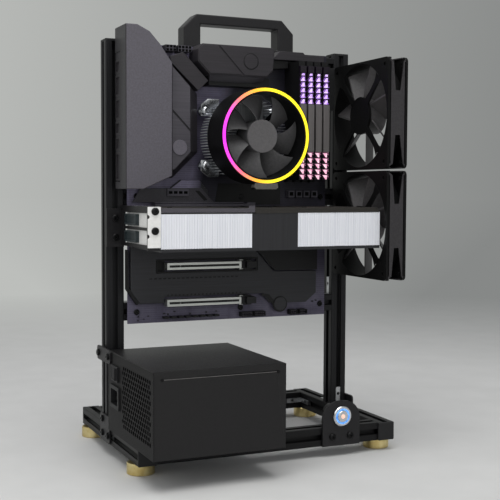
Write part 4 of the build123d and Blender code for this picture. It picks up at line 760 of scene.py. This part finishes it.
turned, given = node_tree("like pieces round an axis", (
    ("Pattern", "Object"), ("Centre", "Vector"), ("Axis", "Vector"), ("Count", "Int"),
    ("Finish", "Material")))
spots = add(turned, "GeometryNodeMeshLine", {"Count": given["Count"], "Start Location": given["Centre"],
                                             "Offset": (0, 0, 0)})
index = add(turned, "GeometryNodeInputIndex")
share = add(turned, "ShaderNodeMath", {0: index.outputs[0], 1: given["Count"]}, operation="DIVIDE")
angle = add(turned, "ShaderNodeMath", {0: share.outputs[0], 1: 2 * math.pi}, operation="MULTIPLY")
turn = add(turned, "ShaderNodeVectorMath", {0: given["Axis"], "Scale": angle.outputs[0]}, operation="SCALE")
pattern = add(turned, "GeometryNodeObjectInfo", {"Object": given["Pattern"]})
copied(turned, given, spots.outputs["Mesh"], pattern.outputs["Geometry"], Rotation=turn.outputs[0])


def strip(work, first, second):
    """Faces in a work mesh between two rows of as many points."""
    for index in range(len(first) - 1):
        work.faces.new((first[index], first[index + 1], second[index + 1], second[index]))


# One blade: a twisted sheet that widens from the hub to the tip and is swept back.
# Its width, widening and sweep are in degrees, sweep_bend and camber are powers, other sizes are in mm.
hub_radius, reach, gauge = 17, 27.2, 1.3
width, widening, sweep, sweep_bend = 38, 9, 12, 1.4
setback, pitch, camber, twist = 12, 20, 1.25, 2.2
outward_steps, across_steps = 6, 7
work = bmesh.new()
sheets = []
for behind in (0.0, gauge):
    sheet = []
    for step in range(outward_steps + 1):
        out = step / outward_steps
        radius = hub_radius + reach * out
        line = []
        for across in range(across_steps + 1):
            share = across / across_steps
            angle = math.radians((width + widening * out) * (share - 0.5) - sweep * out ** sweep_bend)
            depth = setback + pitch * share ** camber + behind + twist * out * (1 - 2 * share)
            spot = Vector((radius * math.sin(angle), depth, radius * math.cos(angle)))
            line.append(work.verts.new(spot / 1000))
        sheet.append(line)
    sheets.append(sheet)
    for near, beyond in zip(sheet, sheet[1:]):
        strip(work, near, beyond)
for end in (0, -1):
    strip(work, *(sheet[end] for sheet in sheets))
for end in (0, -1):
    strip(work, *([line[end] for line in sheet] for sheet in sheets))
blade = spare(work)
# Blades and tab are moulded with a fine grain that spreads the light, and a film covers the hub.
blade_black = grained("moulded fan blades", ("#525152", "#5f5e5f"), (0.36, 0.46), 2.5, 0.02)
blades = grown("blades", turned, {"Pattern": blade, "Centre": at(cooler_x, duct_face, cooler_z),
                                  "Axis": (0, 1, 0), "Count": 7, "Finish": blade_black})
bpy.data.objects.remove(blade)
work = bmesh.new()
work.from_mesh(blades)
bpy.data.meshes.remove(blades)
disc(work, (cooler_x, -63.4, cooler_z), 17.8, 26.4, 64)
pressed("cooler_fan_blades", work, blade_black, "cooler_rotor", 0.0, ("cooler_rotor",))
hub_grey = grained("matt grey film", ("#565455", "#605e5f"), (0.42, 0.5), 2, 0.01)
work = bmesh.new()
disc(work, (cooler_x, -89.8, cooler_z), 17.3, 0.3, 64)
pressed("cooler_hub_cover", work, hub_grey, "cooler_rotor")
tab_grey = grained("grey moulded tab", ("#57534f", "#625e59"), (0.4, 0.5), 2, 0.02)
plates("cooler_tab", [([(131.8, 297.6), (131.2, 293.2), (133.6, 291.2), (156.6, 291.2), (159, 293.2),
                        (158.4, 297.6)], -92.2, -100.5)], tab_grey, "cooler_duct", 0.3)


# Lit ring: one moulding of frosted acrylic let into the duct's rim, lit by coloured lamps behind
# it, so that its colour runs from magenta at the left through orange to yellow.
ring_light, tree, shader, place = start("lit frosted acrylic ring",
                                        {"Roughness": 0.3, "Emission Strength": 0.85})
about = add(tree, "ShaderNodeMapping", {"Vector": place, "Location": at(cooler_x, -98.7, cooler_z),
                                        "Rotation": facing}, vector_type="TEXTURE")
circle = add(tree, "ShaderNodeTexGradient", {"Vector": about.outputs["Vector"]}, gradient_type="RADIAL")
glow = add(tree, "ShaderNodeValToRGB", {"Fac": circle.outputs["Fac"]}, [
    (0.0, "#ef2df2"), (0.09, "#f43ac8"), (0.15, "#fb6a78"), (0.21, "#fea92c"), (0.28, "#fee11c"),
    (0.72, "#fde51c"), (0.79, "#feb02a"), (0.86, "#fb7a6a"), (0.92, "#f540cc"),
    (1.0, "#ef2df2")]).outputs["Color"]
wire(shader, {"Emission Color": glow, "Base Color": glow})
coat(ring_light, "cooler_light_ring")
# A thin black lip lies between the ring and the duct's mouth.
lip_sides, lip_inner, lip_outer, lip_rise = 72, 45, 46.6, 0.3
turns = [math.tau * index / lip_sides for index in range(lip_sides)]
work = bmesh.new()
loops = [[work.verts.new(at(cooler_x + radius * math.sin(turn), duct_face - rise,
                            cooler_z + radius * math.cos(turn))) for turn in turns]
         for radius, rise in ((lip_inner, 0), (lip_inner, lip_rise), (lip_outer, lip_rise), (lip_outer, 0))]
for near, beyond in zip(loops, loops[1:] + loops[:1]):
    strip(work, near[-1:] + near, beyond[-1:] + beyond)
pressed("cooler_rim_lip", work, satin_black, "cooler_duct")


# Graphics card: two stacks of nickel plated fins with folded edges that close their front, a
# moulded black cover below, a stiff plate above and a plated bracket bolted to the frame's arm.
# Nickel plate is pale and softly bright, with streaks along the fins.
plated_fins = grained("nickel plated fins", ("#e6e8ef", "#f6f7fc"), (0.36, 0.48), 1.6, 0.01, (1, 60, 60),
                      Metallic=0.2)
coat(plated_fins, "card_fins")
fin_count = 36
for name, first, span in (("card_left_fin_edges", 22.3, 96.1), ("card_right_fin_edges", 174.1, 97.1)):
    mesh = repeated(name, bar((2.6, 0.3, 35.4)), (first, -120.1, 249),
                    (fin_count, (span / (fin_count - 1), 0, 0)), plated_fins)
    settle(name, mesh, plated_fins, "card_fins")
# The cover's face is brushed upright.
middle_black = grained("brushed black card cover", ("#232325", "#2b2b2e"), (0.34, 0.44), 1.4, 0.01,
                       (1, 1, 40))
coat(middle_black, "card_cover")
# Stove enamel is smooth, with a slight warmth.
plate_black = grained("black stove enamel", ("#262421", "#302d29"), (0.4, 0.5), 2, 0.01)
coat(plate_black, "card_backplate")
strip_back = -119.9
# The black strip in the gap under the plate's front edge is painted shade.
for name, outline, front, material, ease in (
        ("card_upper_lip", [(123.4, 266.2), (172.8, 266.8), (272.6, 267.4), (272.6, 269.2), (123.4, 269.2)],
         -120.6, plate_black, 0.15),
        ("card_plate_edge", [(21, 267.6), (123, 267.6), (123, 274.2), (116.4, 274.2), (115.6, 271.6),
                             (21, 272)], -120.7, grey_paint_and_painted_light, 0.2),
        ("card_plate_gap", square(21, 123, 266, 267.4), -120.3, black_paint_and_painted_shade, 0.0)):
    plates(name, [(outline, strip_back, front)], material, "card_backplate", ease)
work = bmesh.new()
for x in (34, 106, 146, 186, 258):
    for y in (-108, -36):
        disc(work, (x, y, 272.2), 2.6, 0.8, 24, "+Z")
pressed("card_plate_screws", work, blackened, "card_backplate", 0.2)
coat(blade_black, "card_left_rotor", "card_right_rotor")
# The bracket's plate is made pale and nearly plain: painted light where it lies in the shade of the arm.
bracket_steel_painted_light = grained("nickel plated bracket steel, paled as painted light", ("#ecebe8", "#f6f5f3"), (0.32, 0.44), 3, 0.01,
                        Metallic=0.15)
coat(bracket_steel_painted_light, "card_bracket")
# The ports' shells have a dark, cold tone.
port_teal = grained("dark moulded port shells", ("#232a2d", "#31393c"), (0.3, 0.42), 2, 0.01)
coat(port_teal, "card_ports")
coat(powder_coat, "card_arm")


# Side fans: two moulded black frames with arms to the motor, and bladed rotors. Their outer walls
# carry flat panels with a tapering recess towards each corner.
fan_x, fan_y, fan_z = 287.5, -70, (374.7, 252.2)
half_fan, panel_gauge = 60, 1.5
# The frames come dull and deep black from the mould.
frame_black = grained("moulded black PBT frames", ("#070707", "#0c0c0d"), (0.5, 0.62), 2, 0.02,
                      Specular_IOR_Level=0.15)
coat(frame_black, "upper_fan_frame", "lower_fan_frame", "psu_fan_frame")
# The blades and panels are greyer and shine a little more.
blade_grey = grained("moulded grey fan blades", ("#454344", "#514f50"), (0.4, 0.5), 2.5, 0.02)
coat(blade_grey, "upper_fan_rotor", "lower_fan_rotor", "psu_rotor")
panel_grey = grained("moulded grey fan panels", ("#2f2d2f", "#393739"), (0.4, 0.5), 2, 0.02)
half_panel = [(-9.6, 58), (-5.4, 55), (-2.6, 24), (3.4, 24), (7.6, 55), (9.6, 58)]
panel = half_panel + [(x, -z) for x, z in reversed(half_panel)]
work = bmesh.new()
for z in fan_z:
    for side in (-1, 1):
        wall = [(fan_x + across, fan_y + side * half_fan, z + along) for across, along in panel]
        prism(work, wall, (0, -side * panel_gauge, 0))
    for side in (1, -1):
        wall = [(fan_x + across, fan_y + along, z + side * half_fan) for across, along in panel]
        prism(work, wall, (0, 0, -side * panel_gauge))
pressed("fan_wall_panels", work, panel_grey, "upper_fan_frame", 0.2)
arm_x, arm_gauge = 274.7, 0.4
half_arm = [(20, 4.4), (34, 2.8), (48, 3.0), (57.5, 6.5)]
work = bmesh.new()
prism(work, [(0, y, z) for y, z in half_arm + [(y, -z) for y, z in reversed(half_arm)]], (arm_gauge, 0, 0))
bmesh.ops.translate(work, verts=work.verts, vec=-at(0, 0, 0))
bmesh.ops.rotate(work, verts=work.verts, matrix=Matrix.Rotation(math.pi / 4, 3, "X"))
arm = spare(work)
arms = [grown("arms", turned, {"Pattern": arm, "Centre": at(arm_x, fan_y, z), "Axis": (1, 0, 0), "Count": 4,
                               "Finish": frame_black}) for z in fan_z]
bpy.data.objects.remove(arm)
gathered("fan_arms", arms, frame_black, "upper_fan_frame")


# Power supply: a folded steel tray and cover under black powder coat, with a perforated rear
# panel, a mains inlet with its rocker switch, and rows of output sockets at the other end.
# The cover's coat shines a little, the tray's is dull.
supply_coat = grained("fine black powder coat", ("#131213", "#191819"), (0.34, 0.44), 1.6, 0.03)
tray_coat = grained("dull black powder coat", ("#0c0b0c", "#111011"), (0.5, 0.6), 1.6, 0.03,
                    Specular_IOR_Level=0.15)
coat(tray_coat, "psu_tray")
eased("psu_cover", 0.8, supply_coat)
coat(moulded_black, "psu_inlet", "psu_outputs", "psu_rocker")
# Along the fold a grey line is painted on the coat: a painted highlight on the edge.
fold_highlight_grey = grained("painted highlight along the fold of the powder coat", ("#5f5d5c", "#6c6a69"), (0.4, 0.5), 2, 0.01)
plates("supply_fold_edge", [(square(6.2, 125.8, 109.7, 110.3), -168.6, -169.1)], fold_highlight_grey, "psu_cover")
plates("supply_seam", [(square(-3.4, -2.7, 33, 114.4), -168.9, -169.1)], black_paint_and_painted_shade, "psu_cover")
work = bmesh.new()
for x in (5, 127):
    disc(work, (x, -168.9, 110), 1.7, 0.7, 20)
pressed("supply_cover_screws", work, blackened, "psu_cover", 0.2)


# Floor and studio: a plain pale floor that runs out into a grey background, a large soft lamp
# above, weaker ones at the left and in front, and an even light from all round.
def backdrop(tree, heading):
    """The background's grey along a heading: pale at the left, darker at the right, painted as light falling
    from the left.
    """
    side = add(tree, "ShaderNodeSeparateXYZ", {"Vector": heading}).outputs["X"]
    share = add(tree, "ShaderNodeMapRange", {"Value": side, "From Min": 0.1, "From Max": 0.65})
    return add(tree, "ShaderNodeValToRGB", {"Fac": share.outputs["Result"]},
               [(0.0, "#bcbebb"), (1.0, "#868887")]).outputs["Color"]


# Matt paper is even and pale, with a faint cloud of fibres, here 60 mm wide to show.
fibre_size, fade_from, fade_to, floor_radius = 60, 0.6, 1.8, 40
paper, tree, shader, place = start("pale matt studio paper", {"Roughness": 0.9})
fibre = add(tree, "ShaderNodeTexNoise", {"Vector": place, "Scale": 1000 / fibre_size, "Detail": 2.0})
tone = add(tree, "ShaderNodeValToRGB", {"Fac": fibre.outputs["Fac"]}, [(0.3, "#c6c6c4"), (0.7, "#cbcbc9")])
wire(shader, {"Base Color": tone.outputs["Color"]})
# Far off, the floor glows with that grey instead of taking light: painted light.
distance = add(tree, "ShaderNodeVectorMath", {0: place}, operation="LENGTH")
fade = add(tree, "ShaderNodeMapRange", {"Value": distance.outputs["Value"], "From Min": fade_from,
                                        "From Max": fade_to})
heading = add(tree, "ShaderNodeVectorMath", {0: place}, operation="NORMALIZE").outputs["Vector"]
far = add(tree, "ShaderNodeEmission", {"Color": backdrop(tree, heading)})
blend = add(tree, "ShaderNodeMixShader", {0: fade.outputs["Result"], 1: shader.outputs["BSDF"],
                                          2: far.outputs["Emission"]})
wire(tree.nodes["Material Output"], {"Surface": blend.outputs["Shader"]})
work = bmesh.new()
bmesh.ops.create_circle(work, cap_ends=True, segments=64, radius=floor_radius)
floor = bpy.data.objects.new("floor", meshed("floor", work))
floor.data.materials.append(paper)
bpy.context.scene.collection.objects.link(floor)
floor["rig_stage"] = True

world = bpy.data.worlds.new("studio")
bpy.context.scene.world = world
world.use_nodes = True
tree = world.node_tree
even = tree.nodes["Background"]
wire(even, {"Color": linear("#f4f6fa"), "Strength": 0.4})
heading = add(tree, "ShaderNodeTexCoord").outputs["Generated"]
seen = add(tree, "ShaderNodeBackground", {"Color": backdrop(tree, heading)})
path = add(tree, "ShaderNodeLightPath").outputs
shown = path["Is Camera Ray"]
for ray in ("Is Transmission Ray", "Is Glossy Ray"):
    shown = add(tree, "ShaderNodeMath", {0: shown, 1: path[ray]}, operation="MAXIMUM").outputs[0]
blend = add(tree, "ShaderNodeMixShader", {0: shown, 1: even.outputs["Background"],
                                          2: seen.outputs["Background"]})
wire(tree.nodes["World Output"], {"Surface": blend.outputs["Shader"]})

aim = Vector((0, 0, 0.24))
for name, spot, width, power in (("soft lamp left", (-1.4, -0.9, 0.9), 1.2, 6),
                                 ("soft lamp front", (0.4, -2.0, 0.6), 1.2, 3.5),
                                 ("soft lamp above", (-0.2, -0.45, 1.75), 1.4, 24)):
    lamp = bpy.data.lights.new(name, "AREA")
    lamp.shape = "SQUARE"
    lamp.size = width
    lamp.energy = power
    holder = bpy.data.objects.new(name, lamp)
    holder.location = spot
    holder.rotation_euler = (aim - Vector(spot)).to_track_quat("-Z", "Y").to_euler()
    bpy.context.scene.collection.objects.link(holder)


# Camera: at the height of the board's middle, to the left of the bench and turned towards it.
yaw, pitch, roll = (math.radians(angle) for angle in (24.28, -3.27, 0.25))
ahead = Vector((math.sin(yaw) * math.cos(pitch), math.cos(yaw) * math.cos(pitch), math.sin(pitch)))
level = Vector((math.cos(yaw), -math.sin(yaw), 0))
upward = level.cross(ahead)
across = level * math.cos(roll) + upward * math.sin(roll)
upright = upward * math.cos(roll) - level * math.sin(roll)
view = bpy.data.cameras.new("camera")
view.lens = 73.02
view.sensor_width = 36
camera = bpy.data.objects.new("camera", view)
camera.matrix_world = Matrix((across, upright, -ahead)).transposed().to_4x4()
camera.location = at(-310.87, -1069.8, 288.3)
bpy.context.scene.collection.objects.link(camera)
bpy.context.scene.camera = camera
bpy.context.scene.view_settings.view_transform = "Standard"

# Size: the box round all that is shown, the floor left out.
low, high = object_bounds()
